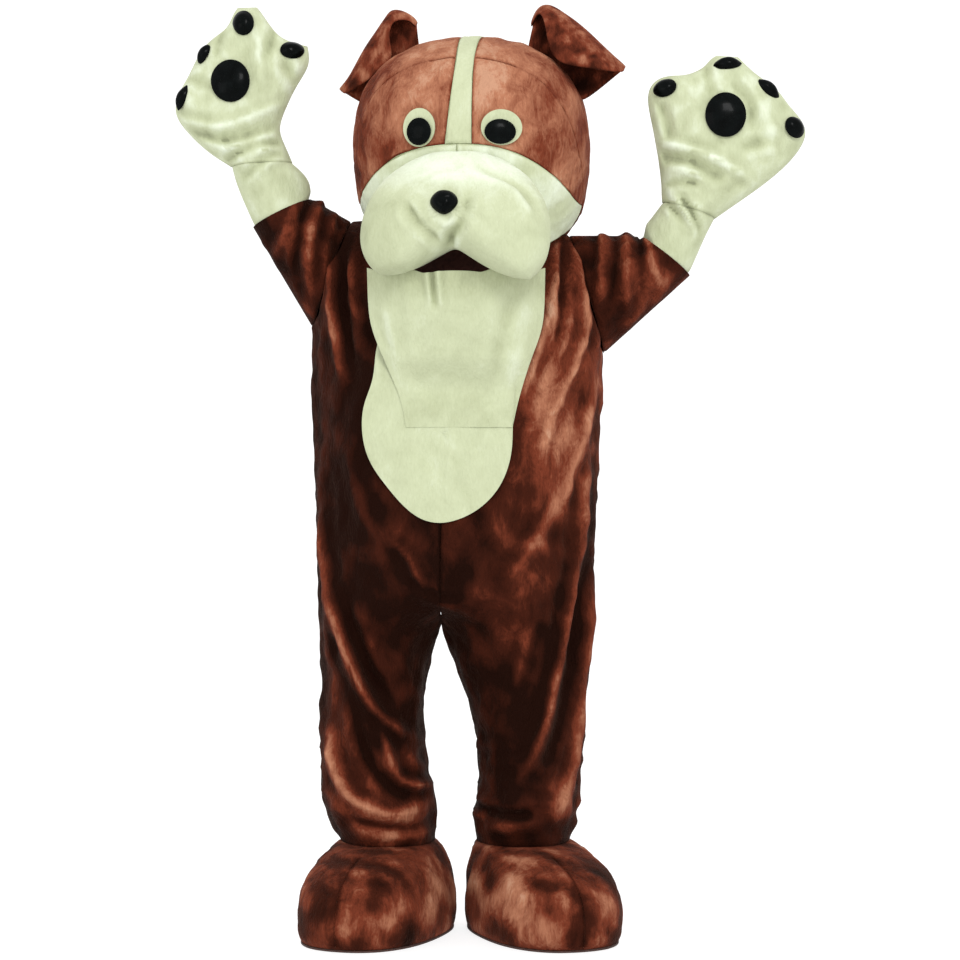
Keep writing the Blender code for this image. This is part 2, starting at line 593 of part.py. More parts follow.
def claw_form(surface, side, claw):
    """A claw's form on a glove: an oval in the cloth's own plane at its middle, so that it wraps over the
    mitten's edge."""
    start = find_on(surface, np.array([claw.x]), np.array([claw.z]), (math.pi / 2, 8.0))
    middle, facing = surface(*start)[0], -side * normals_of(surface, *start)[0]
    turn = math.radians(claw.angle)
    length = np.array([math.cos(turn), 0, math.sin(turn)])
    along = unit(length - facing * (length @ facing))
    aside = np.cross(facing, along)

    def form(angle, share):
        a = middle @ along + claw.long * share * np.cos(angle)
        b = middle @ aside + claw.wide * share * np.sin(angle)
        return surface(*find_on(surface, a, b, (start[0][0], start[1][0]), (along, aside)))

    return form


def build_glove(side, white, black):
    mark = SIDE_NAMES[side]
    surface = glove_surface(side)
    around = arm_ring()
    half = len(around) // 2 + 1
    flip = side > 0
    panel(f"glove_cuff_{mark}", surface, around, CUFF_STEPS, PLUSH, white, flip=flip, ring=True)
    rows = np.concatenate([np.arange(3, 12, 1.0), [11.5, 12.0, 12.35, LAST_MITT_ROW]])
    rows = np.unique(np.round(rows, 3))
    halves = {"palm": around[:half], "back": np.concatenate([around[half - 1 :], [2 * math.pi]])}
    for face_name, across in halves.items():
        panel(f"glove_{face_name}_{mark}", surface, across, rows, PLUSH, white, flip, square_tips)

    def on_palm(x, z):
        return surface(*find_on(surface, x, z, (math.pi / 2, 8.0)))

    x, z, half_width, half_height = PALM_PADS[side]

    def palm_pad(angle, share):
        return on_palm(x + half_width * share * np.cos(angle), z + half_height * share * np.sin(angle))

    pad(f"palm_pad_{mark}", palm_pad, 16, 3, 0.004, 0.012, black, flip=True, lift=SEAT)
    for number, claw in enumerate(CLAWS[side], 1):
        form = claw_form(surface, side, claw)
        pad(f"claw_{number}_{mark}", form, 10, 2, 0.003, 0.011, black, flip=True, lift=claw.seat / 1000)


# ---------------------------------------------------------------- the head


def turned(found):
    """Points of the head's own frame, about its centre line, in the costume's."""
    c, s = math.cos(HEAD_TURN), math.sin(HEAD_TURN)
    return points(
        HEAD_CENTRE[0] + found[..., 0] * c - found[..., 1] * s,
        HEAD_CENTRE[1] + found[..., 0] * s + found[..., 1] * c,
        found[..., 2],
    )


def head_reach(direction):
    """How far the head's skin is from the point on its centre line at SIDE_POINT_Z, along each direction."""
    near, far = np.zeros(direction.shape[:-1]), np.full(direction.shape[:-1], 0.6)
    for _ in range(36):
        middle = (near + far) / 2
        x, y = direction[..., 0] * middle / HEAD_WIDTH, direction[..., 1] * middle / HEAD_DEPTH
        up = direction[..., 2] * middle + SIDE_POINT_Z - HEAD_CENTRE[2]
        z = np.where(up > 0, up / HEAD_UP, up / HEAD_DOWN)
        inside = sum(abs(part) ** HEAD_SQUARENESS for part in (x, y, z)) < 1
        near, far = np.where(inside, middle, near), np.where(inside, far, middle)
    return (near + far) / 2


def head_own(u, v):
    """The head's skin in its own frame: u is the angle aside, from the centre line (0) to the side point
    (90 degrees), and v the angle up and over from the front."""
    direction = points(np.sin(u), -np.cos(u) * np.cos(v), np.cos(u) * np.sin(v))
    return points(0, 0, SIDE_POINT_Z) + direction * head_reach(direction)[..., None]


def head_skin(u, v):
    return turned(head_own(u, v))


# The blaze by the angle up and over: how far its edges are from the centre line.
Blaze = namedtuple("Blaze", "over right left")
BLAZE = [
    Blaze(WHITE_LINE, 0.0232, 0.0282),
    Blaze(40, 0.0105, 0.0240),
    Blaze(CROWN_SEAM, 0.0055, 0.0213),
    Blaze(75, 0.0080, 0.0228),
    Blaze(94, 0.0095, 0.0240),
    Blaze(BLAZE_END, 0.0, 0.0),
]
BLAZE_RADIUS = 0.25
FACE_STEPS, CROWN_STEPS, BACK_STEPS = 5, 6, 10
HEAD_COLUMNS = 9


def blaze_angle(side, v):
    """The angle aside of the blaze's edge on one side."""
    over = np.clip(np.degrees(v), WHITE_LINE, BLAZE_END)
    return column(BLAZE, SIDE_WORDS[side], over) / BLAZE_RADIUS


def aside_share(u):
    """How far an angle aside is from the blaze (0) to the side point (1)."""
    edge = BLAZE[0].left / BLAZE_RADIUS
    return np.clip((abs(u) - edge) / (math.radians(90) - edge), 0, 1)


def white_line(u):
    """The angle up at which the brown begins, level under the blaze and falling towards the side."""
    return np.radians(WHITE_LINE - WHITE_LINE_FALL * aside_share(u) ** 2)


def crown_seam(u):
    """The angle up and over of the seam across the crown."""
    return np.radians(CROWN_SEAM - CROWN_SEAM_FALL * aside_share(u) ** 2)


def cheek_steps(side):
    """The cheek's rows, from the opening's edge, which hangs lower at the jaw and the side, to the white
    line."""

    def steps(u):
        jaw = np.exp(-(((np.degrees(u) - JAW_ASIDE) / JAW_WIDTH) ** 2))
        side_of_neck = np.exp(-(((np.degrees(u) - SIDE_ASIDE) / SIDE_WIDTH) ** 2))
        rim = np.radians(FRONT_RIM - JAW_DROP[side] * jaw - SIDE_DROP[side] * side_of_neck)
        return rim + (white_line(u) - rim) * np.linspace(0, 1, 6)

    return steps


def face_steps(u):
    return white_line(u) + (crown_seam(u) - white_line(u)) * np.linspace(0, 1, FACE_STEPS + 1)


def back_steps(u):
    over = math.radians(BLAZE_END)
    crown = crown_seam(u) + (over - crown_seam(u)) * np.linspace(0, 1, CROWN_STEPS + 1)
    behind = np.radians(np.linspace(BLAZE_END, BACK_RIM, BACK_STEPS + 1))
    return np.concatenate([crown, behind[1:]])


def head_panel(name, side, steps, edge, paint, to_middle=False):
    """A slice of the head from its side point, where it ends in one point, to an edge or on to the centre
    line. steps gives the angles up and over for an angle aside, and edge the angle aside for an angle up
    and over."""
    rows = []
    quarter = math.radians(90)
    for s in np.linspace(1, 0, HEAD_COLUMNS + 1):
        u = np.full(len(steps(0.0)), quarter * s)
        for _ in range(6):
            v = np.array([steps(a)[k] for k, a in enumerate(u)])
            u = edge(v) + (quarter - edge(v)) * s
        rows.append((side * np.minimum(u, math.radians(89.9)), v))
    if to_middle:
        rows.append((np.zeros(len(v)), steps(0.0)))
    u, v = np.array([row[0] for row in rows]), np.array([row[1] for row in rows])
    grid, normals = head_skin(u, v), normals_of(head_skin, u, v)
    middle = grid.shape[1] // 2
    grid[0] = grid[0].mean(axis=0) + unit(grid[1, middle] - grid[0, middle]) * POLE_PULL
    return wall(name, grid, normals, FOAM, paint, pole=True)


def build_head(brown, white):
    for side in (RIGHT, LEFT):
        mark = SIDE_NAMES[side]
        edge = functools.partial(blaze_angle, side)
        white_edge = functools.partial(np.full_like, fill_value=float(edge(math.radians(WHITE_LINE))))
        head_panel(f"head_cheek_{mark}", side, cheek_steps(side), white_edge, white, to_middle=True)
        head_panel(f"head_face_{mark}", side, face_steps, edge, brown)
        head_panel(f"head_back_{mark}", side, back_steps, edge, brown)
    down = np.concatenate([back_steps(0.0)[: CROWN_STEPS + 1][::-1], face_steps(0.0)[:-1][::-1]])
    right, left = -blaze_angle(RIGHT, down), blaze_angle(LEFT, down)
    aside = np.stack([right, (right + left) / 2, left], axis=1)
    v = np.repeat(down[:, None], 3, axis=1)
    wall("head_blaze", head_skin(aside, v), normals_of(head_skin, aside, v), FOAM, white, pole=True)


# ---------------------------------------------------------------- the muzzle, nose and eyes

# The muzzle by the angle from its top, each way: how far out it bulges on the wearer's right and left, how
# far out it meets the face, how far forward it is where it is widest, and how square its front is there.
Jowl = namedtuple("Jowl", "angle right left root wide_y full")
JOWLS = [
    Jowl(0, 0.118, 0.118, 0.118, -0.236, 1.20),
    Jowl(40, 0.136, 0.136, 0.132, -0.232, 1.30),
    Jowl(65, 0.158, 0.158, 0.138, -0.240, 1.60),
    Jowl(90, 0.180, 0.182, 0.126, -0.255, 2.10),
    Jowl(115, 0.199, 0.203, 0.074, -0.268, 2.50),
    Jowl(130, 0.196, 0.211, 0.048, -0.275, 2.60),
    Jowl(140, 0.160, 0.172, 0.037, -0.272, 2.50),
    Jowl(150, 0.118, 0.125, 0.031, -0.268, 2.30),
    Jowl(165, 0.083, 0.084, 0.027, -0.262, 2.10),
    Jowl(180, 0.069, 0.069, 0.025, -0.258, 2.00),
]


def jowl_reach(angle, turn):
    """How far out the muzzle bulges at a signed angle from its top, which is turn degrees either way."""
    return np.where(np.sin(angle) < 0, column(JOWLS, "right", turn), column(JOWLS, "left", turn))


def skin_y(x, z):
    """How far back the head's front skin is, in the head's own frame."""
    up = z - HEAD_CENTRE[2]
    z_share = abs(np.where(up > 0, up / HEAD_UP, up / HEAD_DOWN)) ** HEAD_SQUARENESS
    left = np.clip(1 - abs(x / HEAD_WIDTH) ** HEAD_SQUARENESS - z_share, 1e-6, 1)
    return -HEAD_DEPTH * left ** (1 / HEAD_SQUARENESS)


def muzzle_own(angle, share):
    """The muzzle in the head's own frame: angle round from its top, share from its front (0) to the face
    (1)."""
    turn = np.degrees(np.arccos(np.clip(np.cos(angle), -1, 1)))
    reach, root = jowl_reach(angle, turn), column(JOWLS, "root", turn)
    wide_y, full = column(JOWLS, "wide_y", turn), column(JOWLS, "full", turn)
    root_y = skin_y(root * np.sin(angle), MUZZLE_Z + root * np.cos(angle)) - LAID_GAP
    wide_y = np.minimum(wide_y, root_y - MUZZLE_LIP)
    out = np.sin(np.clip(share / MUZZLE_WIDEST, 0, 1) * math.pi / 2)
    front_y = MUZZLE_FRONT + (wide_y - MUZZLE_FRONT) * (1 - np.clip(1 - out**full, 0, 1) ** (1 / full))
    back = np.clip((share - MUZZLE_WIDEST) / (1 - MUZZLE_WIDEST), 0, 1.01) * MUZZLE_TURN
    radius = reach * out + (root - reach) * (1 - np.cos(back)) / (1 - math.cos(MUZZLE_TURN))
    y = front_y + (root_y - wide_y) * np.sin(back) / math.sin(MUZZLE_TURN)
    return points(radius * np.sin(angle), y, MUZZLE_Z + radius * np.cos(angle))


def muzzle_front(x, z):
    """The muzzle's front at x and z, in the head's own frame."""
    angle, radius = np.arctan2(x, z - MUZZLE_Z), np.hypot(x, z - MUZZLE_Z)
    turn = np.degrees(abs(angle))
    out = np.clip(radius / jowl_reach(angle, turn), 0, 1)
    return muzzle_own(angle, np.arcsin(out) / (math.pi / 2) * MUZZLE_WIDEST)


Spot = namedtuple("Spot", "x z half_width half_height")
EYES = {RIGHT: Spot(-0.072, 0.187, 0.032, 0.038), LEFT: Spot(0.084, 0.185, 0.039, 0.035)}
PUPILS = {RIGHT: Spot(-0.070, 0.1785, 0.0238, 0.0267), LEFT: Spot(0.081, 0.177, 0.0292, 0.0242)}
NOSE = Spot(-0.009, 0.028, 0.0275, 0.0225)
NOSE_TAPER = 0.32
EYE_THICK, EYE_RISE, PUPIL_RISE, NOSE_RISE = 0.004, 0.006, 0.007, 0.022


def build_face(white, black):
    angle = np.linspace(0, 2 * math.pi, 30, endpoint=False)
    share = np.array([0.0, 0.2, 0.38, 0.54, MUZZLE_WIDEST, 0.82, 0.91, 1.0])
    share, angle = np.meshgrid(share, angle, indexing="ij")

    def muzzle(u, v):
        return turned(muzzle_own(u, v))

    near = np.maximum(share, 0.01)
    wall("muzzle", muzzle(angle, near), normals_of(muzzle, angle, near), FOAM, white, ring=True, pole=True)

    def nose(u, v):
        narrow = 1 - NOSE_TAPER * np.clip(-np.sin(u), 0, 1)
        x = NOSE.x + NOSE.half_width * v * np.cos(u) * narrow
        return turned(muzzle_front(x, NOSE.z + NOSE.half_height * v * np.sin(u)))

    pad("nose", nose, 16, 3, 0.005, NOSE_RISE, black, flip=True, lift=SEAT)
    for side in (RIGHT, LEFT):

        def oval(spot):
            def surface(u, v):
                x, z = spot.x + spot.half_width * v * np.cos(u), spot.z + spot.half_height * v * np.sin(u)
                return turned(points(x, skin_y(x, z), z))

            return surface

        mark = SIDE_NAMES[side]
        pad(f"eye_white_{mark}", oval(EYES[side]), 16, 2, EYE_THICK, EYE_RISE, white, flip=True, lift=SEAT)
        on_white = SEAT + EYE_RISE + SEAM_GAP
        pad(f"pupil_{mark}", oval(PUPILS[side]), 16, 2, 0.003, PUPIL_RISE, black, flip=True, lift=on_white)


# ---------------------------------------------------------------- the mouth and the bib

# The bib by the share down it: how far forward its middle and its edges are, its edges seen from the
# front, its height.
Bib = namedtuple("Bib", "share middle_y edge_y right_x left_x z")
BIB = [
    Bib(0, -0.272, -0.186, -0.178, 0.166, -0.090),
    Bib(0.30, -0.258, -0.180, -0.172, 0.162, -0.185),
    Bib(0.55, -0.238, -0.192, -0.142, 0.136, -0.262),
    Bib(0.80, -0.219, -0.1985, -0.112, 0.114, -0.335),
    Bib(1, -0.2058, -0.2022, -0.103, 0.103, -0.386),
]
LIP_DIP = 0.011
LIP_GAP = 0.0025
MOUTH_SEAT = 0.0027
MOUTH_LOW_Z, MOUTH_SIDE_RISE = -0.165, 0.040
MOUTH_ASIDE = math.radians(44)


def bib_surface(u, v):
    """The bib: u from its right edge (-1) to its left edge (1), v down it."""
    right, left = column(BIB, "right_x", v), column(BIB, "left_x", v)
    middle_y, edge_y = column(BIB, "middle_y", v), column(BIB, "edge_y", v)
    x = (right + left) / 2 + u * (left - right) / 2
    y = middle_y + (edge_y - middle_y) * abs(u) ** 2.2
    dip = LIP_DIP * 4 * u**2 * (1 - np.clip(u**2, 0, 1)) * (1 - smooth_step(v * 3))
    gathers = 0.004 * np.cos(u * 22) * (1 - smooth_step(v * 2.2)) * (1 - smooth_step((abs(u) - 0.2) * 4))
    return points(x, y + gathers, column(BIB, "z", v) - dip)


def mouth_surface(u, v):
    """The dark mouth: from the head's front rim (0) down and forward to the lip, where the bib hangs (1)."""
    aside, up = u * MOUTH_ASIDE, np.full(np.shape(u), math.radians(FRONT_RIM + 1.5))
    rim = head_skin(aside, up) + normals_of(head_skin, aside, up) * MOUTH_SEAT
    lip = bib_surface(u, np.zeros(np.shape(u)))
    lip[..., 1] += 2 * PLUSH + LIP_GAP
    low = rim * 0.72 + lip * 0.28
    low[..., 2] = MOUTH_LOW_Z + MOUTH_SIDE_RISE * u**2
    t = v[..., None]
    return rim * (1 - t) ** 2 + (2 * low) * t * (1 - t) + lip * t**2


def build_mouth(white, dark):
    across = np.linspace(-1, 1, 13)
    panel("mouth_lining", mouth_surface, across, np.linspace(0, 1, 6), PLUSH, dark, flip=True)
    panel("chin_bib", bib_surface, across, np.linspace(0, 1, 11), PLUSH, white, flip=True)


# ---------------------------------------------------------------- the ears

# An ear, from its inner edge to its tip: the head's angle aside at its root, the crest it folds over, and
# its free edge.
Ear = namedtuple("Ear", "share root crest_x crest_z edge_x edge_y edge_z")
EARS = {
    RIGHT: [
        Ear(0, -18.5, -0.1105, 0.427, -0.1120, -0.020, 0.414),
        Ear(0.12, -22, -0.1235, 0.441, -0.1255, -0.023, 0.429),
        Ear(0.28, -26, -0.1560, 0.456, -0.1540, -0.040, 0.426),
        Ear(0.40, -30, -0.1746, 0.433, -0.1600, -0.052, 0.388),
        Ear(0.50, -33, -0.1928, 0.409, -0.1520, -0.055, 0.358),
        Ear(0.65, -37, -0.2190, 0.372, -0.1860, -0.060, 0.327),
        Ear(0.85, -43, -0.2460, 0.318, -0.2190, -0.055, 0.301),
        Ear(1, -47, -0.2670, 0.296, -0.2509, -0.035, 0.2815),
    ],
    LEFT: [
        Ear(0, 20, 0.1221, 0.420, 0.1240, -0.022, 0.411),
        Ear(0.12, 23, 0.1345, 0.449, 0.1370, -0.028, 0.436),
        Ear(0.24, 27, 0.1520, 0.458, 0.1470, -0.044, 0.430),
        Ear(0.40, 31, 0.1854, 0.439, 0.1589, -0.075, 0.372),
        Ear(0.50, 34, 0.2054, 0.426, 0.1775, -0.078, 0.339),
        Ear(0.65, 38, 0.2375, 0.398, 0.2123, -0.083, 0.322),
        Ear(0.85, 44, 0.2775, 0.356, 0.2680, -0.068, 0.314),
        Ear(1, 48, 0.3078, 0.329, 0.3049, -0.036, 0.313),
    ],
}
EAR_THICK = 0.005
EAR_ROOT_GAP = 0.0006
EAR_ROOT_OVER, EAR_CREST_Y = 88, -0.006


def ear_surface(side):
    """An ear: u from its inner edge (0) to its tip (1), v from the head (0) over the crest (1) to the
    free edge (2)."""
    table = EARS[side]

    def surface(u, v):
        aside = np.radians(column(table, "root", u))
        over = np.full(np.shape(u), math.radians(EAR_ROOT_OVER))
        root = head_own(aside, over)
        root = root + unit(root - np.array([0, 0, SIDE_POINT_Z])) * EAR_ROOT_GAP
        crest = points(column(table, "crest_x", u), EAR_CREST_Y, column(table, "crest_z", u))
        edge = points(column(table, "edge_x", u), column(table, "edge_y", u), column(table, "edge_z", u))
        over_y = crest[..., 1] + (edge[..., 1] - crest[..., 1]) * 0.55
        front = crest + (edge - crest) * 0.22
        front[..., 1] = over_y
        knots = np.stack([root, crest, front, edge])
        stations = [0.0, 1.0, 1.4, 2.0]
        shape = knots.shape[1:-1]
        found = np.zeros(shape + (3,))
        flat = knots.reshape(4, -1, 3)
        v_flat = np.broadcast_to(v, shape).reshape(-1)
        for k in range(flat.shape[1]):
            found.reshape(-1, 3)[k] = curve(stations, flat[:, k], v_flat[k])
        return turned(found)

    return surface


def build_ears(brown):
    for side in (RIGHT, LEFT):
        down = [0, 0.35, 0.7, 0.92, 1.08, 1.25, 1.4, 1.7, 2.0]
        across = [0, 0.1, 0.2, 0.3, 0.4, 0.5, 0.62, 0.75, 0.88, 1]
        panel(f"ear_{SIDE_NAMES[side]}", ear_surface(side), across, down, EAR_THICK, brown, flip=side < 0)


# ---------------------------------------------------------------- the feet

FOOT_TURN = math.radians(20)
FOOT_CENTRE = {RIGHT: (-0.160, -0.080), LEFT: (0.163, -0.080)}
FOOT_HALF_WIDTH, FOOT_HALF_LENGTH, FOOT_SQUARENESS = 0.135, 0.221, 2.4
SOLE, FOOT_WALL = 0.004, 0.005
HEM_SEAT = HEM_Z - 0.0006
# A foot's cover from the sole to its opening: its height, how much of the loaf's outline is left against
# the trouser hem's, and the scale of each.
Foot = namedtuple("Foot", "row z hem loaf_scale hem_scale")
FEET = [
    Foot(0, FLOOR_Z + SOLE + SEAM_GAP, 0, 0.955, 1),
    Foot(1, FLOOR_Z + 0.022, 0, 0.995, 1),
    Foot(2, FLOOR_Z + 0.060, 0, 1.0, 1),
    Foot(3, FLOOR_Z + 0.100, 0.03, 0.985, 1),
    Foot(4, FLOOR_Z + 0.134, 0.20, 0.960, 1),
    Foot(5, FLOOR_Z + 0.157, 0.50, 0.930, 1),
    Foot(6, FLOOR_Z + 0.169, 0.80, 0.910, 1.05),
    Foot(7, HEM_SEAT, 1.0, 0.900, 1.03),
    Foot(8, HEM_SEAT, 1.0, 0.900, 0.86),
    Foot(9, HEM_SEAT + 0.012, 1.0, 0.900, 0.80),
]


def hem_ring(side, angle):
    """The trouser hem's outline in plan, by the compass angle from straight ahead."""
    last = SECTIONS[-1]
    mark = SIDE_NAMES[side]
    edges = [float(column(OUTLINE, name + mark, HEM_Z)) for name in ("side_", "inside_")]
    middle, half = sum(edges) / 2, abs(edges[1] - edges[0]) / 2
    depth = np.where(np.cos(angle) > 0, last.front, last.back)
    return middle + half * np.sin(angle), -depth * np.cos(angle)


def foot_surface(side):
    """A foot's cover: u is the compass angle from its toe, v runs up the rows of FEET."""

    def surface(u, v):
        power = 2 / FOOT_SQUARENESS
        aside = FOOT_HALF_WIDTH * np.sign(np.sin(u)) * abs(np.sin(u)) ** power
        ahead = FOOT_HALF_LENGTH * np.sign(np.cos(u)) * abs(np.cos(u)) ** power
        c, s = math.cos(FOOT_TURN), math.sin(FOOT_TURN) * side
        scale = column(FEET, "loaf_scale", v)
        hem_x, hem_y = hem_ring(side, u + FOOT_TURN * side)
        grow = column(FEET, "hem_scale", v)
        middle = (hem_ring(side, math.pi / 2)[0] + hem_ring(side, -math.pi / 2)[0]) / 2
        loaf_x = middle + (FOOT_CENTRE[side][0] - middle + aside * c + ahead * s) * scale
        loaf_y = (FOOT_CENTRE[side][1] + aside * s - ahead * c) * scale
        hem_x, hem_y = middle + (hem_x - middle) * grow, hem_y * grow
        share = column(FEET, "hem", v)
        x, y = loaf_x + (hem_x - loaf_x) * share, loaf_y + (hem_y - loaf_y) * share
        return points(x, y, column(FEET, "z", v))

    return surface


def build_foot(side, brown, dark):
    surface = foot_surface(side)
    mark = SIDE_NAMES[side]
    rows = [0, 0.5, 1, 2, 3, 4, 5, 6, 7, 8, 9]
    turns = {"outer": side * np.linspace(0, math.pi, 12), "inner": -side * np.linspace(0, math.pi, 12)}
    for name, across in turns.items():
        panel(f"foot_{name}_{mark}", surface, across, rows, FOOT_WALL, brown)
    around = np.linspace(0, 2 * math.pi, 28, endpoint=False)

    def sole(u, v):
        ring = surface(u, np.zeros(np.shape(u)))
        middle = np.array([*FOOT_CENTRE[side], 0.0])
        found = middle + (ring - middle) * (v * 1.005)[..., None]
        found[..., 2] = FLOOR_Z
        return found

    share, angle = np.meshgrid(np.linspace(0, 1, 3), around, indexing="ij")
    up = np.zeros(share.shape + (3,))
    up[..., 2] = -1.0
    wall(f"foot_sole_{mark}", sole(angle, share), up, SOLE, dark, ring=True, pole=True)


# ---------------------------------------------------------------- build

for leftover in list(bpy.data.objects):
    bpy.data.objects.remove(leftover, do_unlink=True)
costume = bpy.data.collections.new("dog_mascot_costume")
bpy.context.scene.collection.children.link(costume)

brown_plush = material("brown_plush", (0.115, 0.026, 0.012), 0.85)
white_plush = material("white_plush", (0.74, 0.79, 0.64), 0.9)
gloss_black = material("gloss_black", (0.012, 0.014, 0.018), 0.2)
mouth_cloth = material("mouth_cloth", (0.075, 0.014, 0.012), 0.9)
sole_rubber = material("sole_rubber", (0.05, 0.045, 0.04), 0.8)

build_suit(brown_plush, white_plush)
build_head(brown_plush, white_plush)
build_face(white_plush, gloss_black)
build_mouth(white_plush, mouth_cloth)
build_ears(brown_plush)
for arm in (RIGHT, LEFT):
    build_glove(arm, white_plush, gloss_black)
    build_foot(arm, brown_plush, sole_rubber)
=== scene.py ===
"""Looks of the dog mascot costume: plush, nap and folds, the head's face, the paw gloves and the feet."""

import math
from collections import namedtuple

import bpy
import numpy as np
from bpy.props import FloatProperty, FloatVectorProperty, PointerProperty
from mathutils.bvhtree import BVHTree
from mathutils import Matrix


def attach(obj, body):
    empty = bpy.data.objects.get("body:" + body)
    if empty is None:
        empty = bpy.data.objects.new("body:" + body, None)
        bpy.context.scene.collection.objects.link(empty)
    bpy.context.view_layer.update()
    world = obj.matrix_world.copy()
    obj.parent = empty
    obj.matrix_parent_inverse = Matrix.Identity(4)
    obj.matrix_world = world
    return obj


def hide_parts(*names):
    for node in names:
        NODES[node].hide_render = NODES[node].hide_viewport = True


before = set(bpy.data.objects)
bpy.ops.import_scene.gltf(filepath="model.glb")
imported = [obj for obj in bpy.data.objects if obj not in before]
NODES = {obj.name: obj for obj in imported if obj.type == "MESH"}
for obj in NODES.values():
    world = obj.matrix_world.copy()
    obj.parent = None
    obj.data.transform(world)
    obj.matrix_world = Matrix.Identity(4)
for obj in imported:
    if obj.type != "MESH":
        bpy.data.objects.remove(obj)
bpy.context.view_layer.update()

bl_info = {
    "name": "Dog mascot costume",
    "version": (1, 0, 0),
    "blender": (4, 5, 0),
    "location": "3D Viewport > Sidebar > Costume",
    "description": "Dresses the costume's solids in plush, with its folds, face, paws and feet",
    "category": "Object",
}

SIDES = ("r", "l")
FRONT, BACK = -1, 1
FLOOR_Z = -1.38
MM = 0.001
MERGE = 0.02 * MM
# A panel's rim is where its surface turns by more than this, in degrees. At SOFT_RIM there is no rim.
RIM_ANGLE, SEAM_ANGLE, SOFT_RIM = 62.0, 50.0, 180.0
QUAD_FACE_ANGLE, QUAD_SHAPE_ANGLE = 55.0, 120.0
# A smooth uneven field adds up this many waves, each this much finer or coarser than its size.
WAVES, COARSEST, FINEST = 9, 0.6, 1.5
# How each part's cover crumples: the size and seed of its swells, and the size and share of the finer ones.
Crumple = namedtuple("Crumple", "size seed fine_size fine_share")
SLEEVE_CRUMPLE = Crumple(0.05, 31, 0.025, 0.5)
SHELL_CRUMPLE = Crumple(0.07, 41, 0.03, 0.4)
MUZZLE_CRUMPLE = Crumple(0.09, 51, 0.035, 0.4)
EAR_CRUMPLE = Crumple(0.05, 71, 0.02, 0.5)
GLOVE_CRUMPLE = Crumple(0.05, 81, 0.022, 0.5)
FOOT_CRUMPLE = Crumple(0.06, 91, 0.025, 0.5)


# ---------- points and meshes


def unit(vectors):
    return vectors / np.maximum(np.linalg.norm(vectors, axis=-1, keepdims=True), 1e-12)


def smooth_step(x):
    t = np.clip(x, 0, 1)
    return t * t * (3 - 2 * t)


def bump(distance, width):
    return np.exp(-((distance / width) ** 2))


def points_of(piece):
    found = np.empty(len(piece.data.vertices) * 3)
    piece.data.vertices.foreach_get("co", found)
    return found.reshape(-1, 3)


def put_points(piece, found):
    piece.data.vertices.foreach_set("co", found.reshape(-1))
    piece.data.update()


def ripple(at, size, seed):
    """A smooth uneven field, from about -1 to 1, whose swells are about size metres across."""
    dice = np.random.default_rng(seed)
    total = np.zeros(len(at))
    for _ in range(WAVES):
        way = unit(dice.normal(size=3))
        turns = at @ way * (2 * math.pi / size) * dice.uniform(COARSEST, FINEST)
        total += np.sin(turns + dice.uniform(0, 2 * math.pi))
    return total / math.sqrt(WAVES)


def crumpled(at, how):
    """A smooth uneven field with a finer one on it."""
    return ripple(at, how.size, how.seed) + how.fine_share * ripple(at, how.fine_size, how.seed + 1)


def rounded_line(line, times=2):
    """A line through points with its corners cut and its ends kept."""
    for _ in range(times):
        cut = [line[0]]
        for start, end in zip(line[:-1], line[1:]):
            cut += [tuple(a + (b - a) * share for a, b in zip(start, end)) for share in (0.25, 0.75)]
        line = [*cut, line[-1]]
    return line


def off_line(x, z, line):
    """How far each point (x, z) lies off a line through points, and its share of the way along that line."""
    lengths = [math.dist(start, end) for start, end in zip(line[:-1], line[1:])]
    nearest, share = np.full(np.shape(x), np.inf), np.zeros(np.shape(x))
    passed = 0.0
    for (ax, az), (bx, bz), length in zip(line[:-1], line[1:], lengths):
        dx, dz = bx - ax, bz - az
        t = np.clip(((x - ax) * dx + (z - az) * dz) / length**2, 0, 1)
        off = np.hypot(x - ax - t * dx, z - az - t * dz)
        nearer = off < nearest
        nearest = np.where(nearer, off, nearest)
        share = np.where(nearer, (passed + t * length) / sum(lengths), share)
        passed += length
    return nearest, share


def alone(piece):
    """Makes a piece the only one selected, in object mode."""
    if bpy.context.mode != "OBJECT":
        bpy.ops.object.mode_set(mode="OBJECT")
    bpy.ops.object.select_all(action="DESELECT")
    piece.select_set(True)
    bpy.context.view_layer.objects.active = piece


def cloth(node, levels, rim_angle=RIM_ANGLE):
    """A piece on a node's form: its mesh joined up and turned to quads, its rims crisp, the rest rounded."""
    piece = bpy.data.objects.new(node + "_cloth", NODES[node].data.copy())
    bpy.context.scene.collection.objects.link(piece)
    alone(piece)
    bpy.ops.object.mode_set(mode="EDIT")
    bpy.ops.mesh.select_all(action="SELECT")
    bpy.ops.mesh.customdata_custom_splitnormals_clear()
    bpy.ops.mesh.remove_doubles(threshold=MERGE)
    bpy.ops.mesh.tris_convert_to_quads(
        face_threshold=math.radians(QUAD_FACE_ANGLE), shape_threshold=math.radians(QUAD_SHAPE_ANGLE),
    )
    bpy.ops.mesh.select_mode(type="EDGE")
    bpy.ops.mesh.select_all(action="DESELECT")
    bpy.ops.mesh.edges_select_sharp(sharpness=math.radians(rim_angle))
    bpy.ops.transform.edge_crease(value=1.0)
    bpy.ops.object.mode_set(mode="OBJECT")
    rounded = piece.modifiers.new("rounded", "SUBSURF")
    rounded.levels = levels
    rounded.render_levels = levels
    bpy.ops.object.modifier_apply(modifier="rounded")
    return piece


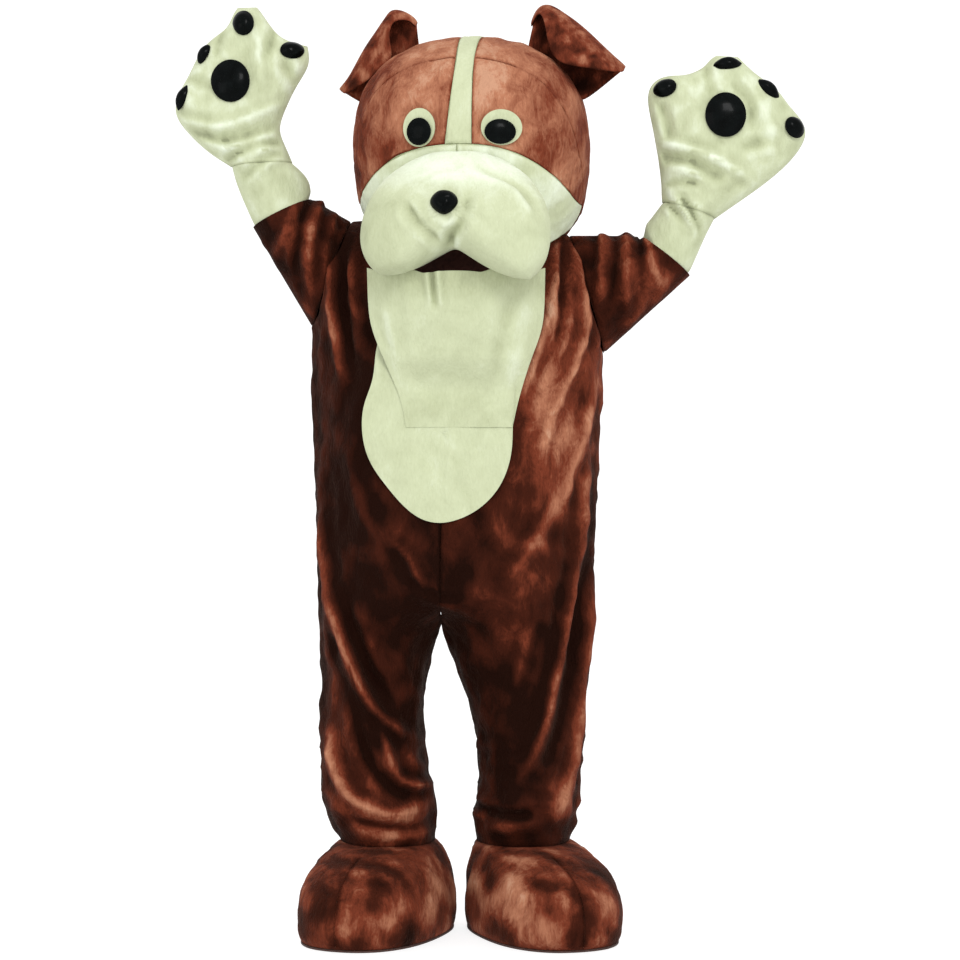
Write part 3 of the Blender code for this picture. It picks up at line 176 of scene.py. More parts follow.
def rims(piece, degrees=SEAM_ANGLE):
    """True for each point on an edge where a piece turns sharply, which is where its panel ends."""
    mesh = piece.data
    loops = np.empty(len(mesh.loops), int)
    mesh.loops.foreach_get("edge_index", loops)
    polygons = np.empty(len(mesh.polygons) * 3)
    mesh.polygons.foreach_get("normal", polygons)
    sizes = np.empty(len(mesh.polygons), int)
    mesh.polygons.foreach_get("loop_total", sizes)
    owner = np.repeat(np.arange(len(sizes)), sizes)
    order = np.argsort(loops, kind="stable")
    pairs = owner[order].reshape(-1, 2)
    normals = polygons.reshape(-1, 3)
    sharp = (normals[pairs[:, 0]] * normals[pairs[:, 1]]).sum(axis=1) < math.cos(math.radians(degrees))
    ends = np.empty(len(mesh.edges) * 2, int)
    mesh.edges.foreach_get("vertices", ends)
    found = np.zeros(len(mesh.vertices), bool)
    found[ends.reshape(-1, 2)[sharp].reshape(-1)] = True
    return found


def finish(piece, nodes, slot, bevel=0.7 * MM):
    """Rounds a piece's rims, shades it, paints it and ties it to the solids that it stands for."""
    alone(piece)
    if bevel:
        edge = piece.modifiers.new("edge", "BEVEL")
        edge.width = bevel
        edge.segments = 2
        edge.limit_method = "ANGLE"
        edge.angle_limit = math.radians(RIM_ANGLE)
        bpy.ops.object.modifier_apply(modifier="edge")
    bpy.ops.object.shade_smooth_by_angle(angle=math.radians(RIM_ANGLE))
    piece.data.materials.clear()
    piece.data.materials.append(paint_of(slot))
    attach(piece, "root")
    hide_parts(*nodes)
    return piece


def write_nap_and_painted_light(piece, values):
    """Keeps how light the nap lies at each point, with the painted light, shade and sheen put on it, for the
    material to read.
    """
    field = piece.data.attributes.get("nap") or piece.data.attributes.new("nap", "FLOAT", "POINT")
    field.data.foreach_set("value", np.asarray(values, np.float32))


def tree_of(objects):
    """A search tree over several meshes at rest."""
    vertices, faces = [], []
    for piece in objects:
        first = len(vertices)
        vertices += [v.co.copy() for v in piece.data.vertices]
        faces += [[first + i for i in polygon.vertices] for polygon in piece.data.polygons]
    return BVHTree.FromPolygons(vertices, faces)


def dressed(*nodes):
    """A search tree over the finished pieces of some nodes."""
    return tree_of([bpy.data.objects[node + "_cloth"] for node in nodes])


def moved_with(piece, node):
    """Shifts a small piece by as much as what carries it has moved from its solid's form."""
    middle = points_of(piece).mean(axis=0)
    before = tree_of([NODES[node]]).find_nearest(middle)[0]
    after = dressed(node).find_nearest(middle)[0]
    put_points(piece, points_of(piece) + np.array(after - before))


def laid_on(piece, nodes, ahead):
    """Carries each point of a laid piece along Y with the cloth under it. ahead is FRONT or BACK."""
    before, after = tree_of([NODES[node] for node in nodes]), dressed(*nodes)
    found = points_of(piece)
    for k, (x, _, z) in enumerate(found):
        start, way = (x, ahead * 1.0, z), (0, -ahead, 0)
        old, new = before.ray_cast(start, way)[0], after.ray_cast(start, way)[0]
        if old and new:
            found[k, 1] += new.y - old.y
    put_points(piece, found)


# ---------- settings


class CostumeSettings(bpy.types.PropertyGroup):
    """Colours and sizes of the costume's looks."""

    # The three browns are stops of one ramp driven by the nap field, which also carries painted light and
    # shade. The light brown stands partly for painted highlight and sheen, and the deep brown partly for
    # painted shade.
    deep_brown: FloatVectorProperty(
        name="Deep brown", description="The plush where its pile points at the eye", subtype="COLOR",
        default=(0.0115, 0.0030, 0.0014), min=0, max=1,
    )
    mid_brown: FloatVectorProperty(
        name="Mid brown", description="The plush brushed down", subtype="COLOR",
        default=(0.160, 0.034, 0.016), min=0, max=1,
    )
    light_brown: FloatVectorProperty(
        name="Light brown", description="The plush brushed up, the light along its pile", subtype="COLOR",
        default=(0.40, 0.165, 0.092), min=0, max=1,
    )
    white: FloatVectorProperty(
        name="White", description="The white plush of the face, the bib and the gloves", subtype="COLOR",
        default=(0.50, 0.54, 0.355), min=0, max=1,
    )
    fold_strength: FloatProperty(
        name="Folds", description="Scale of the suit's folds", default=1.0, min=0, max=2, subtype="FACTOR",
    )
    crumple: FloatProperty(
        name="Crumple", description="Height of the small unevenness of the suit's cloth", default=0.0028,
        min=0, max=0.01, unit="LENGTH", subtype="DISTANCE",
    )
    seam_depth: FloatProperty(
        name="Seam depth", description="How far a sewn edge is drawn in", default=0.0028, min=0, max=0.006,
        unit="LENGTH", subtype="DISTANCE",
    )
    light_power: FloatProperty(
        name="Key light", description="Power of the large front light, in watts",
        default=78.0, min=0, max=2000,
    )


def settings():
    return bpy.context.scene.costume_settings


# ---------- materials


def fresh(name):
    made = bpy.data.materials.new(name)
    made.use_nodes = True
    tree = made.node_tree
    shader = tree.nodes["Principled BSDF"]
    return made, tree, shader


# A noise: how fine it is, its octaves, its stretch along X, Y and Z, how far it is pulled about, how rough.
Grain = namedtuple("Grain", "scale detail stretch distortion roughness")
BROWN_BLOTCHES = Grain(8, 3, (1, 1, 0.55), 1.4, 0.5)
BROWN_MARKS = Grain(26, 5, (1, 1, 0.6), 1.6, 0.66)
BROWN_FIBRES = Grain(260, 3, (1, 1, 0.28), 0.6, 0.55)
WHITE_PATCHES = Grain(16, 4, (1, 1, 0.8), 0.8, 0.55)
WHITE_FIBRES = Grain(230, 3, (1, 1, 0.35), 0.5, 0.55)
SCUFFS = Grain(60, 4, (1, 1, 1), 0.0, 0.55)
SHEET_GRAIN = Grain(120, 3, (1, 1, 1), 0.0, 0.55)


def noise(tree, grain):
    """The value of a noise in the piece's own space."""
    where = tree.nodes.new("ShaderNodeTexCoord")
    mapping = tree.nodes.new("ShaderNodeMapping")
    mapping.inputs["Scale"].default_value = grain.stretch
    made = tree.nodes.new("ShaderNodeTexNoise")
    made.inputs["Scale"].default_value = grain.scale
    made.inputs["Detail"].default_value = grain.detail
    made.inputs["Roughness"].default_value = grain.roughness
    made.inputs["Distortion"].default_value = grain.distortion
    tree.links.new(where.outputs["Object"], mapping.inputs["Vector"])
    tree.links.new(mapping.outputs["Vector"], made.inputs["Vector"])
    return made.outputs["Fac"]


def math_node(tree, operation, *values):
    made = tree.nodes.new("ShaderNodeMath")
    made.operation = operation
    for socket, value in zip(made.inputs, values):
        if isinstance(value, (int, float)):
            socket.default_value = value
        else:
            tree.links.new(value, socket)
    return made.outputs[0]


def centred(tree, value, swing):
    """A noise turned into a swing about nought."""
    return math_node(tree, "MULTIPLY", math_node(tree, "SUBTRACT", value, 0.5), swing)


def ramp(tree, factor, stops):
    made = tree.nodes.new("ShaderNodeValToRGB")
    elements = made.color_ramp.elements
    while len(elements) < len(stops):
        elements.new(0.5)
    for element, (place, colour) in zip(elements, stops):
        element.position = place
        element.color = (*colour, 1)
    tree.links.new(factor, made.inputs["Fac"])
    return made.outputs["Color"]


def bumped(tree, shader, height, strength, distance):
    made = tree.nodes.new("ShaderNodeBump")
    made.inputs["Strength"].default_value = strength
    made.inputs["Distance"].default_value = distance
    tree.links.new(height, made.inputs["Height"])
    tree.links.new(made.outputs["Normal"], shader.inputs["Normal"])


# The nap field that this reads holds painted light, shade and sheen as well as the nap's own lie.
def read_nap_and_painted_light(tree):
    made = tree.nodes.new("ShaderNodeAttribute")
    made.attribute_type = "GEOMETRY"
    made.attribute_name = "nap"
    return made.outputs["Fac"]


def set_sockets(shader, values):
    for name, value in values.items():
        shader.inputs[name].default_value = value


# How far each noise swings the nap's lightness. Brown plush swings less where its nap lies dark.
BLOTCH_SWING, MARK_SWING, FIBRE_SWING = 0.42, 0.66, 0.30
LIVELY_GAIN, LIVELY_LEAST, LIVELY_MOST = 1.1, 0.34, 1.0
WHITE_PATCH_SWING, WHITE_FIBRE_SWING, WHITE_MIDDLE = 0.55, 0.25, 0.5
DARK_SHARE, PALE_TINT = 0.30, (1.25, 1.6, 1.8)
BROWN_SURFACE = {
    "Roughness": 0.75, "Specular IOR Level": 0.03,
    "Sheen Weight": 0.05, "Sheen Roughness": 0.30, "Sheen Tint": (1.0, 0.55, 0.40, 1),
}
WHITE_SURFACE = {
    "Roughness": 0.85, "Specular IOR Level": 0.06,
    "Sheen Weight": 0.10, "Sheen Roughness": 0.5, "Sheen Tint": (1.0, 1.0, 0.92, 1),
}
GLOSS_SURFACE = {"Specular IOR Level": 0.03, "Coat Weight": 0.04, "Coat Roughness": 0.10}
GLOSS_COLOURS = [(0.3, (0.0006, 0.0010, 0.0009)), (0.75, (0.0022, 0.0034, 0.0034))]
GLOSS_ROUGH_SWING, GLOSS_ROUGH_LEAST = 0.18, 0.16
# The strength and depth of each finish's relief, and how much deeper marks and patches are than fibres.
BROWN_RELIEF, WHITE_RELIEF, SHEET_RELIEF = (0.8, 4 * MM), (0.6, 2.8 * MM), (0.4, 2 * MM)
MARK_DEPTH, PATCH_DEPTH = 2.2, 1.2


def brown_plush(name):
    """Crushed plush: its colour goes from deep to light with the nap and with the painted light, shade and
    sheen kept in the same field on the piece.
    """
    now = settings()
    made, tree, shader = fresh(name)
    blotches = noise(tree, BROWN_BLOTCHES)
    marks = noise(tree, BROWN_MARKS)
    fibres = noise(tree, BROWN_FIBRES)
    nap = read_nap_and_painted_light(tree)
    unevenness = math_node(
        tree, "ADD", centred(tree, blotches, BLOTCH_SWING), centred(tree, marks, MARK_SWING),
    )
    unevenness = math_node(tree, "ADD", unevenness, centred(tree, fibres, FIBRE_SWING))
    liveliness = math_node(tree, "MULTIPLY_ADD", nap, LIVELY_GAIN, LIVELY_LEAST)
    liveliness = math_node(tree, "MINIMUM", liveliness, LIVELY_MOST)
    lie_and_painted_light = math_node(tree, "MULTIPLY_ADD", unevenness, liveliness, nap)
    # The ramp turns the nap field into colour. Where that field holds painted light, the light and palest
    # stops are painted highlight and sheen. Where it holds painted shade, the deep stop is painted shade.
    colour = ramp(tree, lie_and_painted_light, [
        (0.0, now.deep_brown),
        (0.28, tuple(DARK_SHARE * np.array(now.mid_brown))),
        (0.52, now.mid_brown),
        (0.84, now.light_brown),
        (1.0, tuple(np.array(now.light_brown) * PALE_TINT)),
    ])
    tree.links.new(colour, shader.inputs["Base Color"])
    set_sockets(shader, BROWN_SURFACE)
    pile = math_node(tree, "ADD", fibres, math_node(tree, "MULTIPLY", marks, MARK_DEPTH))
    bumped(tree, shader, pile, *BROWN_RELIEF)
    return made


def white_plush(name):
    """Short pile: painted shade and light, kept as a field on the piece, make its folds and seams a little
    darker or lighter.
    """
    now = settings()
    made, tree, shader = fresh(name)
    patches = noise(tree, WHITE_PATCHES)
    fibres = noise(tree, WHITE_FIBRES)
    lie_and_painted_light = math_node(tree, "ADD", read_nap_and_painted_light(tree), centred(tree, patches, WHITE_PATCH_SWING))
    lie_and_painted_light = math_node(tree, "ADD", lie_and_painted_light, centred(tree, fibres, WHITE_FIBRE_SWING))
    lie_and_painted_light = math_node(tree, "ADD", lie_and_painted_light, WHITE_MIDDLE)
    white = np.array(now.white)
    colour = ramp(tree, lie_and_painted_light, [
        (0.0, tuple(white * (0.50, 0.50, 0.46))),
        (0.3, tuple(white * (0.82, 0.82, 0.78))),
        (0.55, tuple(white)),
        (1.0, tuple(white * (1.45, 1.45, 1.80))),
    ])
    tree.links.new(colour, shader.inputs["Base Color"])
    set_sockets(shader, WHITE_SURFACE)
    pile = math_node(tree, "ADD", fibres, math_node(tree, "MULTIPLY", patches, PATCH_DEPTH))
    bumped(tree, shader, pile, *WHITE_RELIEF)
    return made


def gloss_black(name):
    made, tree, shader = fresh(name)
    scuffs = noise(tree, SCUFFS)
    tree.links.new(ramp(tree, scuffs, GLOSS_COLOURS), shader.inputs["Base Color"])
    rough = math_node(tree, "MULTIPLY_ADD", scuffs, GLOSS_ROUGH_SWING, GLOSS_ROUGH_LEAST)
    tree.links.new(rough, shader.inputs["Roughness"])
    set_sockets(shader, GLOSS_SURFACE)
    return made


def plain(name, dark, light, roughness):
    """A matt sheet with a fine grain."""
    made, tree, shader = fresh(name)
    grain = noise(tree, SHEET_GRAIN)
    tree.links.new(ramp(tree, grain, [(0.3, dark), (0.7, light)]), shader.inputs["Base Color"])
    set_sockets(shader, {"Roughness": roughness})
    bumped(tree, shader, grain, *SHEET_RELIEF)
    return made


def mouth_cloth(name):
    return plain(name, (0.040, 0.010, 0.007), (0.085, 0.026, 0.018), 0.95)


def sole_rubber(name):
    return plain(name, (0.030, 0.012, 0.008), (0.060, 0.024, 0.017), 0.85)


def studio_paper():
    """Matt paper. Its glow stands for light that the rest of the set throws back."""
    made, _, shader = fresh("studio_paper")
    set_sockets(shader, {
        "Base Color": (*PAPER_GREY, 1), "Roughness": 0.9,
        "Emission Color": (1, 1, 1, 1), "Emission Strength": PAPER_GLOW,
    })
    return made


# Each slot's material: its name, and what makes it.
PAINTS = {
    "brown_plush": ("brown_plush_cloth", brown_plush),
    "white_plush": ("white_plush_cloth", white_plush),
    "gloss_black": ("gloss_black_plastic", gloss_black),
    "mouth_cloth": ("mouth_lining_cloth", mouth_cloth),
    "sole_rubber": ("sole_rubber_sheet", sole_rubber),
}


def paint_of(slot):
    """The one material that all pieces of a slot share."""
    name, make = PAINTS[slot]
    return bpy.data.materials.get(name) or make(name)


# ---------- how the nap lies, with its painted sheen and shade

# Where the pile is crushed, with the painted sheen it catches (above 0) or painted shade (below 0), seen from
# the front: a soft oval's middle and half sizes in millimetres, and how much.
Patch = namedtuple("Patch", "x z wide high nap")
NAP_AND_PAINTED_LIGHT_PATCHES = [
    Patch(200, -200, 60, 160, 0.34),
    Patch(150, -330, 40, 120, 0.40),
    Patch(220, -400, 45, 80, 0.26),
    Patch(170, -500, 50, 80, 0.10),
    Patch(147, -611, 35, 14, 0.30),
    Patch(137, -710, 30, 30, 0.18),
    Patch(116, -800, 22, 50, 0.26),
    Patch(232, -950, 20, 120, 0.20),
    Patch(205, -1115, 32, 50, 0.46),
    Patch(-240, -1040, 30, 55, 0.50),
    Patch(-190, -1120, 60, 28, 0.36),
    Patch(-130, -1170, 60, 30, 0.46),
    Patch(-80, -1135, 40, 25, 0.32),
    Patch(-110, -1030, 30, 28, 0.24),
    Patch(-240, -640, 25, 100, 0.12),
    Patch(-50, -620, 50, 20, 0.10),
    Patch(0, -720, 110, 60, -0.10),
    Patch(310, -40, 50, 60, 0.22),
    Patch(370, -100, 50, 60, 0.26),
    Patch(-300, -20, 40, 60, 0.12),
    Patch(100, -1310, 75, 70, 0.34),
    Patch(200, -1280, 12, 50, 0.20),
    Patch(-45, -1310, 35, 55, 0.40),
    Patch(-218, -1300, 14, 40, 0.24),
]
# Painted shade makes seams darker, and painted light makes small swells a little lighter.
SEAM_PAINTED_SHADE, SWELL_PAINTED_LIGHT = 0.16, 0.05


def nap_and_painted_sheen_at(at, base, unevenness=0.16):
    """How light the pile lies at each point, painted sheen and shade included: a base, the patches, and
    smooth unevenness.
    """
    total = np.full(len(at), 0.0) + base
    for patch in NAP_AND_PAINTED_LIGHT_PATCHES:
        x, z, wide, high = (length / 1000 for length in patch[:4])
        aside, above = (at[:, 0] - x) / wide, (at[:, 2] - z) / high
        total += patch.nap * np.exp(-(aside**2) - above**2)
    total += unevenness * 0.6 * ripple(at * (1, 1, 0.5), 0.16, 3)
    total += unevenness * 0.5 * ripple(at * (1, 1, 0.7), 0.05, 4)
    return total


# ---------- the jumpsuit

# A fold, in millimetres: how far the cloth stands out along a line, the fold's half width, and the line as
# (x, z) points. It is in the front of the costume unless it says BACK.
Fold = namedtuple("Fold", "height width line face", defaults=(FRONT,))
FOLDS = [
    Fold(9, 11, [(190, -40), (179, -130), (155, -224), (126, -304), (118, -360)]),
    Fold(10, 10, [(223, 30), (237, -118), (252, -190), (219, -260), (201, -313)]),
    Fold(-9, 9, [(206, 20), (205, -100), (203, -180), (178, -260)]),
    Fold(8, 11, [(237, -240), (201, -313), (166, -402), (150, -470)]),
    Fold(8, 12, [(270, -270), (245, -393), (215, -480), (190, -560)]),
    Fold(11, 12, [
        (256, -380), (240, -575), (219, -709), (193, -853), (162, -986), (116, -1079), (50, -1110),
    ]),
    Fold(-12, 12, [(240, -640), (236, -730), (217, -853), (192, -986), (155, -1085)]),
    Fold(8, 11, [(258, -640), (248, -832), (234, -986), (203, -1120), (180, -1180)]),
    Fold(-9, 9, [(10, -1128), (60, -1136), (116, -1142), (150, -1135)]),
    Fold(7, 12, [(40, -1165), (90, -1170), (160, -1160)]),
    Fold(6, 10, [(150, -740), (125, -820), (105, -900)]),
    Fold(5, 14, [(180, -540), (140, -620), (70, -700)]),
    Fold(12, 12, [(-262, -600), (-250, -740), (-208, -863), (-172, -930), (-120, -976), (-50, -1015)]),
    Fold(-12, 12, [(-232, -700), (-200, -800), (-165, -885), (-120, -940)]),
    Fold(11, 10, [(-165, -950), (-146, -990), (-134, -1045), (-108, -1080), (-40, -1096)]),
    Fold(-11, 11, [(-210, -900), (-195, -985), (-170, -1050), (-130, -1100), (-70, -1115)]),
    Fold(11, 12, [(-265, -960), (-250, -1040), (-225, -1095), (-187, -1125), (-120, -1141), (-45, -1128)]),
    Fold(-8, 9, [(-230, -1140), (-180, -1160), (-100, -1172), (-50, -1160)]),
    Fold(7, 11, [(-270, -450), (-268, -600), (-262, -760), (-258, -900)]),
    Fold(6, 9, [(-150, -590), (-100, -630), (-75, -680), (-60, -730)]),
    Fold(-6, 9, [(-120, -660), (-70, -700), (-20, -720), (20, -710)]),
    Fold(7, 13, [(-246, 10), (-255, -118), (-242, -189), (-224, -278), (-215, -360)]),
    Fold(-9, 10, [(-228, -10), (-232, -130), (-222, -220), (-205, -300)]),
    Fold(6, 11, [(-205, 0), (-208, -118), (-196, -200), (-175, -290)]),
    Fold(5, 14, [(-225, -380), (-205, -500), (-160, -610)]),
    Fold(9, 15, [(-240, -200), (-230, -350), (-190, -480)], BACK),
    Fold(-9, 13, [(-205, -180), (-195, -330), (-160, -450)], BACK),
    Fold(9, 15, [(240, -240), (225, -380), (185, -500)], BACK),
    Fold(-8, 13, [(200, -220), (190, -360), (150, -470)], BACK),
    Fold(9, 14, [(-200, -640), (-130, -720), (-60, -740)], BACK),
    Fold(-8, 12, [(-210, -700), (-140, -765), (-75, -775)], BACK),
    Fold(9, 14, [(190, -650), (110, -725), (0, -740)], BACK),
    Fold(-8, 12, [(200, -710), (120, -765), (30, -775)], BACK),
    Fold(10, 14, [(-255, -880), (-180, -960), (-90, -980)], BACK),
    Fold(9, 13, [(240, -870), (150, -950), (50, -960)], BACK),
    Fold(10, 14, [(-240, -1030), (-170, -1100), (-80, -1110)], BACK),
    Fold(-8, 11, [(-230, -1085), (-160, -1140), (-80, -1145)], BACK),
    Fold(9, 13, [(215, -1010), (130, -1085), (50, -1090)], BACK),
    Fold(-8, 11, [(205, -1060), (130, -1125), (50, -1130)], BACK),
]
# The share of a fold's length over which it fades at each end, how deep its flanks are beside its crest, and
# how much painted light a millimetre of height puts on the crest and painted shade on the flanks.
FADE, FLANK, CREST_PAINTED_LIGHT, FLANK_PAINTED_SHADE = 0.25, 0.40, 0.032, 0.014
# In half widths of the fold: how far off its flanks lie, how wide they are, and how wide its crest's painted
# highlight is.
FLANK_OFF, FLANK_WIDTH, CREST_WIDTH = 1.8, 0.8, 0.7
HEM_Z, CROTCH_Z, ARMPIT_Z = -1.205, -0.755, -0.19
# How light the nap lies down each side of the suit, at these heights. High up, the left side, which faces the
# key light, is painted lighter than the right: painted light on top of the nap.
NAP_HEIGHTS = (-1.20, -0.80, -0.45, -0.10)
SUIT_NAP_AND_SIDE_LIGHT = {"r": (0.10, 0.03, 0.02, 0.08), "l": (0.04, 0.07, 0.25, 0.24)}
BODY_DEPTH = 0.17
# The width of the suit is measured at this many heights, over this far above and below each.
LEVELS, LEVEL_REACH = 36, 0.035
# The legs part from this far above the crotch, over this distance.
LEGS_PART, LEGS_FADE = 0.06, 0.10
# The powers that turn the way out of the suit, across the body and through it.
ROUND_X, ROUND_Y = 2.2, 0.9
# Folds fade over these distances towards the side seams, the hem and the shoulders. Creases gather low down.
SIDE_FADE, HEM_FADE = 0.05, 0.03
SHOULDER_Z, SHOULDER_FADE = 0.01, 0.08
CREASED_Z, CREASED_FADE, CREASED_SHARE = -0.92, 0.12, 1.4


def limits(side):
    """The suit's lowest and highest x on one side, as a function of height."""
    found = np.concatenate([points_of(NODES[f"suit_{face}_{side}"]) for face in ("front", "back")])
    heights = np.linspace(HEM_Z, ARMPIT_Z, LEVELS)
    near = [found[abs(found[:, 2] - z) < LEVEL_REACH, 0] for z in heights]
    low, high = [x.min() for x in near], [x.max() for x in near]
    return lambda z: (np.interp(z, heights, low), np.interp(z, heights, high))


def outward(at, side):
    """The way out of the suit, level, at each point of one side. Both faces of the cloth share it."""
    low, high = limits(side)(at[:, 2])
    seam, inside = (low, high) if side == "r" else (high, low)
    leg = smooth_step((CROTCH_Z + LEGS_PART - at[:, 2]) / LEGS_FADE)
    middle = inside + (seam - inside) * 0.5 * leg
    half = abs(seam - middle)
    x = np.clip((at[:, 0] - middle) / half, -1, 1)
    y = np.clip(at[:, 1] / BODY_DEPTH, -1, 1)
    return unit(np.stack([np.sign(x) * abs(x) ** ROUND_X, np.sign(y) * abs(y) ** ROUND_Y, 0 * x], axis=1))


def fold_height(at, folds, face_of):
    """How far the cloth stands out at each point, and the painted light on the folds' crests and painted
    shade on their flanks, kept in its nap.

    A fold is a crest, or a trough where its height is below nought. Beside it the cloth goes softly the other
    way, and the fold fades at its ends."""
    rise, light = np.zeros(len(at)), np.zeros(len(at))
    for fold in folds:
        on, width = face_of == fold.face, fold.width * MM
        line = rounded_line([(x / 1000, z / 1000) for x, z in fold.line])
        off, share = off_line(at[on, 0], at[on, 2], line)
        fading = smooth_step(share / FADE) * smooth_step((1 - share) / FADE)
        flanks = bump(off - FLANK_OFF * width, FLANK_WIDTH * width)
        rise[on] += fold.height * MM * (bump(off, width) - FLANK * flanks) * fading
        # Painted highlight on the crest and painted shade on the flanks, per millimetre of height.
        lit = CREST_PAINTED_LIGHT * bump(off, CREST_WIDTH * width) - FLANK_PAINTED_SHADE * flanks
        light[on] += fold.height * lit * fading
    return rise, light


def folded_suit(piece, side):
    """Puts the folds, the crumple and the drawn-in seams into one panel of the suit, and paints its nap with
    painted light on crests and swells and painted shade on flanks and seams.
    """
    now = settings()
    at = points_of(piece)
    rise, light = fold_height(at, FOLDS, np.where(at[:, 1] < 0, FRONT, BACK))
    edge = smooth_step(abs(at[:, 1]) / SIDE_FADE)
    hem = smooth_step((at[:, 2] - HEM_Z) / HEM_FADE)
    top = smooth_step((SHOULDER_Z - at[:, 2]) / SHOULDER_FADE)
    low = smooth_step((CREASED_Z - at[:, 2]) / CREASED_FADE)
    crease = 1 - abs(ripple(at * (0.6, 0.6, 1.6), 0.10, 21))
    small = ripple(at * (1, 1, 0.45), 0.075, 11) + 0.5 * ripple(at * (1, 1, 0.7), 0.033, 12)
    small = small + CREASED_SHARE * low * crease
    rise = rise * edge * hem * top * now.fold_strength + now.crumple * small * hem * top
    tucked = rims(piece) & (at[:, 2] > HEM_Z + 4 * MM) & (abs(at[:, 2] - CROTCH_Z) > 0.03)
    rise = rise - now.seam_depth * tucked
    put_points(piece, at + outward(at, side) * rise[:, None])
    base = np.interp(at[:, 2], NAP_HEIGHTS, SUIT_NAP_AND_SIDE_LIGHT[side])
    # Painted light and shade: lighter fold crests and swells, darker fold flanks and seams.
    nap = nap_and_painted_sheen_at(at, base) + light * edge + SWELL_PAINTED_LIGHT * small * hem - SEAM_PAINTED_SHADE * tucked
    write_nap_and_painted_light(piece, nap)


def build_suit():
    for side in SIDES:
        for face in ("front", "back"):
            node = f"suit_{face}_{side}"
            piece = cloth(node, 3)
            folded_suit(piece, side)
            finish(piece, [node], "brown_plush")
    belly = cloth("belly_patch", 2)
    laid_on(belly, ["suit_front_r", "suit_front_l"], FRONT)
    finish(belly, ["belly_patch"], "white_plush")
    placket = cloth("back_placket", 2)
    laid_on(placket, ["suit_back_r", "suit_back_l"], BACK)
    write_nap_and_painted_light(placket, nap_and_painted_sheen_at(points_of(placket), 0.16))
    finish(placket, ["back_placket"], "brown_plush")


class COSTUME_OT_suit(bpy.types.Operator):
    """Build the jumpsuit's panels with their folds, the belly patch and the back placket"""

    bl_idname = "costume.suit"
    bl_label = "Jumpsuit"

    def execute(self, context):
        build_suit()
        return {"FINISHED"}


# ---------- the sleeves

SLEEVE_FOLDS = {
    "r": [
        Fold(7, 11, [(-270, 100), (-300, -50), (-292, -150)]),
        Fold(-8, 9, [(-290, 100), (-322, -40), (-330, -100)]),
        Fold(6, 10, [(-315, 110), (-345, -10), (-370, -50)]),
        Fold(5, 9, [(-240, 90), (-262, -40), (-270, -130)]),
        Fold(7, 12, [(-290, 40), (-305, -60), (-295, -150)], BACK),
        Fold(-7, 10, [(-320, 45), (-335, -30), (-350, -80)], BACK),
    ],
    "l": [
        Fold(8, 10, [(284, 70), (281, -50), (276, -118), (263, -164)]),
        Fold(-7, 8, [(304, 60), (306, -70), (292, -170)]),
        Fold(7, 10, [(336, 50), (330, -50), (327, -187)]),
        Fold(-6, 8, [(352, 50), (356, -80), (362, -140)]),
        Fold(6, 9, [(360, 30), (384, -70), (395, -114)]),
        Fold(8, 11, [(300, -10), (300, -90), (280, -180)], BACK),
        Fold(-7, 9, [(330, -10), (340, -100), (325, -180)], BACK),
        Fold(6, 10, [(370, -20), (385, -80), (395, -110)], BACK),
    ],
}
ARM_AXIS = {
    "r": ((-0.254, 0.0, -0.078), (-0.352, -0.03, 0.043)),
    "l": ((0.252, 0.0, -0.116), (0.405, -0.03, -0.041)),
}
SLEEVE_SEAM_Y, SLEEVE_NAP = -0.015, 0.15


def from_axis(at, start, end):
    """The way out from a straight axis, and how far along it each point is."""
    start, end = np.array(start), np.array(end)
    along = (at - start) @ (end - start) / ((end - start) @ (end - start))
    return unit(at - (start + along[:, None] * (end - start))), along


def build_sleeves():
    now = settings()
    for side in SIDES:
        node = f"sleeve_{side}"
        piece = cloth(node, 3)
        at = points_of(piece)
        way, along = from_axis(at, *ARM_AXIS[side])
        face = np.where(at[:, 1] < SLEEVE_SEAM_Y, FRONT, BACK)
        rise, light = fold_height(at, SLEEVE_FOLDS[side], face)
        inner = smooth_step(abs(at[:, 1] - SLEEVE_SEAM_Y) / 0.03)
        inner = inner * smooth_step(along / 0.25) * smooth_step((1 - along) / 0.2)
        small = crumpled(at, SLEEVE_CRUMPLE)
        tucked = rims(piece) & (along < 0.5)
        rise = (rise * now.fold_strength + now.crumple * 0.8 * small) * inner - now.seam_depth * tucked
        put_points(piece, at + way * rise[:, None])
        # Painted light on fold crests and swells, painted shade on fold flanks and on the drawn-in seams.
        write_nap_and_painted_light(piece, nap_and_painted_sheen_at(at, SLEEVE_NAP) + light + SWELL_PAINTED_LIGHT * small - SEAM_PAINTED_SHADE * tucked)
        finish(piece, [node], "brown_plush")


class COSTUME_OT_sleeves(bpy.types.Operator):
    """Build the two sleeves with their gathers"""

    bl_idname = "costume.sleeves"
    bl_label = "Sleeves"

    def execute(self, context):
        build_sleeves()
        return {"FINISHED"}


# ---------- the head

HEAD_MIDDLE = np.array([0.024, 0.0, 0.15])
# The second number is the face's nap at its sides, darkened as painted shade. The third is the cheeks' nap,
# raised as painted light against their shade.
HEAD_NAP, HEAD_SIDE_PAINTED_SHADE_NAP, CHEEK_PAINTED_LIGHT = 0.78, 0.56, 0.22
# The seam across the crown shows less where it is higher than this and this far from the blaze.
CROWN_Z, CROWN_CLEAR, CROWN_TUCK = 0.17, 0.085, 0.35
# Painted shade: the face gets darker from this far off the head's middle, over this distance, as the head
# turns from the light.
ASIDE_X, ASIDE_FADE = 0.08, 0.14
HEAD_SWIRL_NAP, HEAD_SEAM_PAINTED_SHADE = 0.10, 0.22


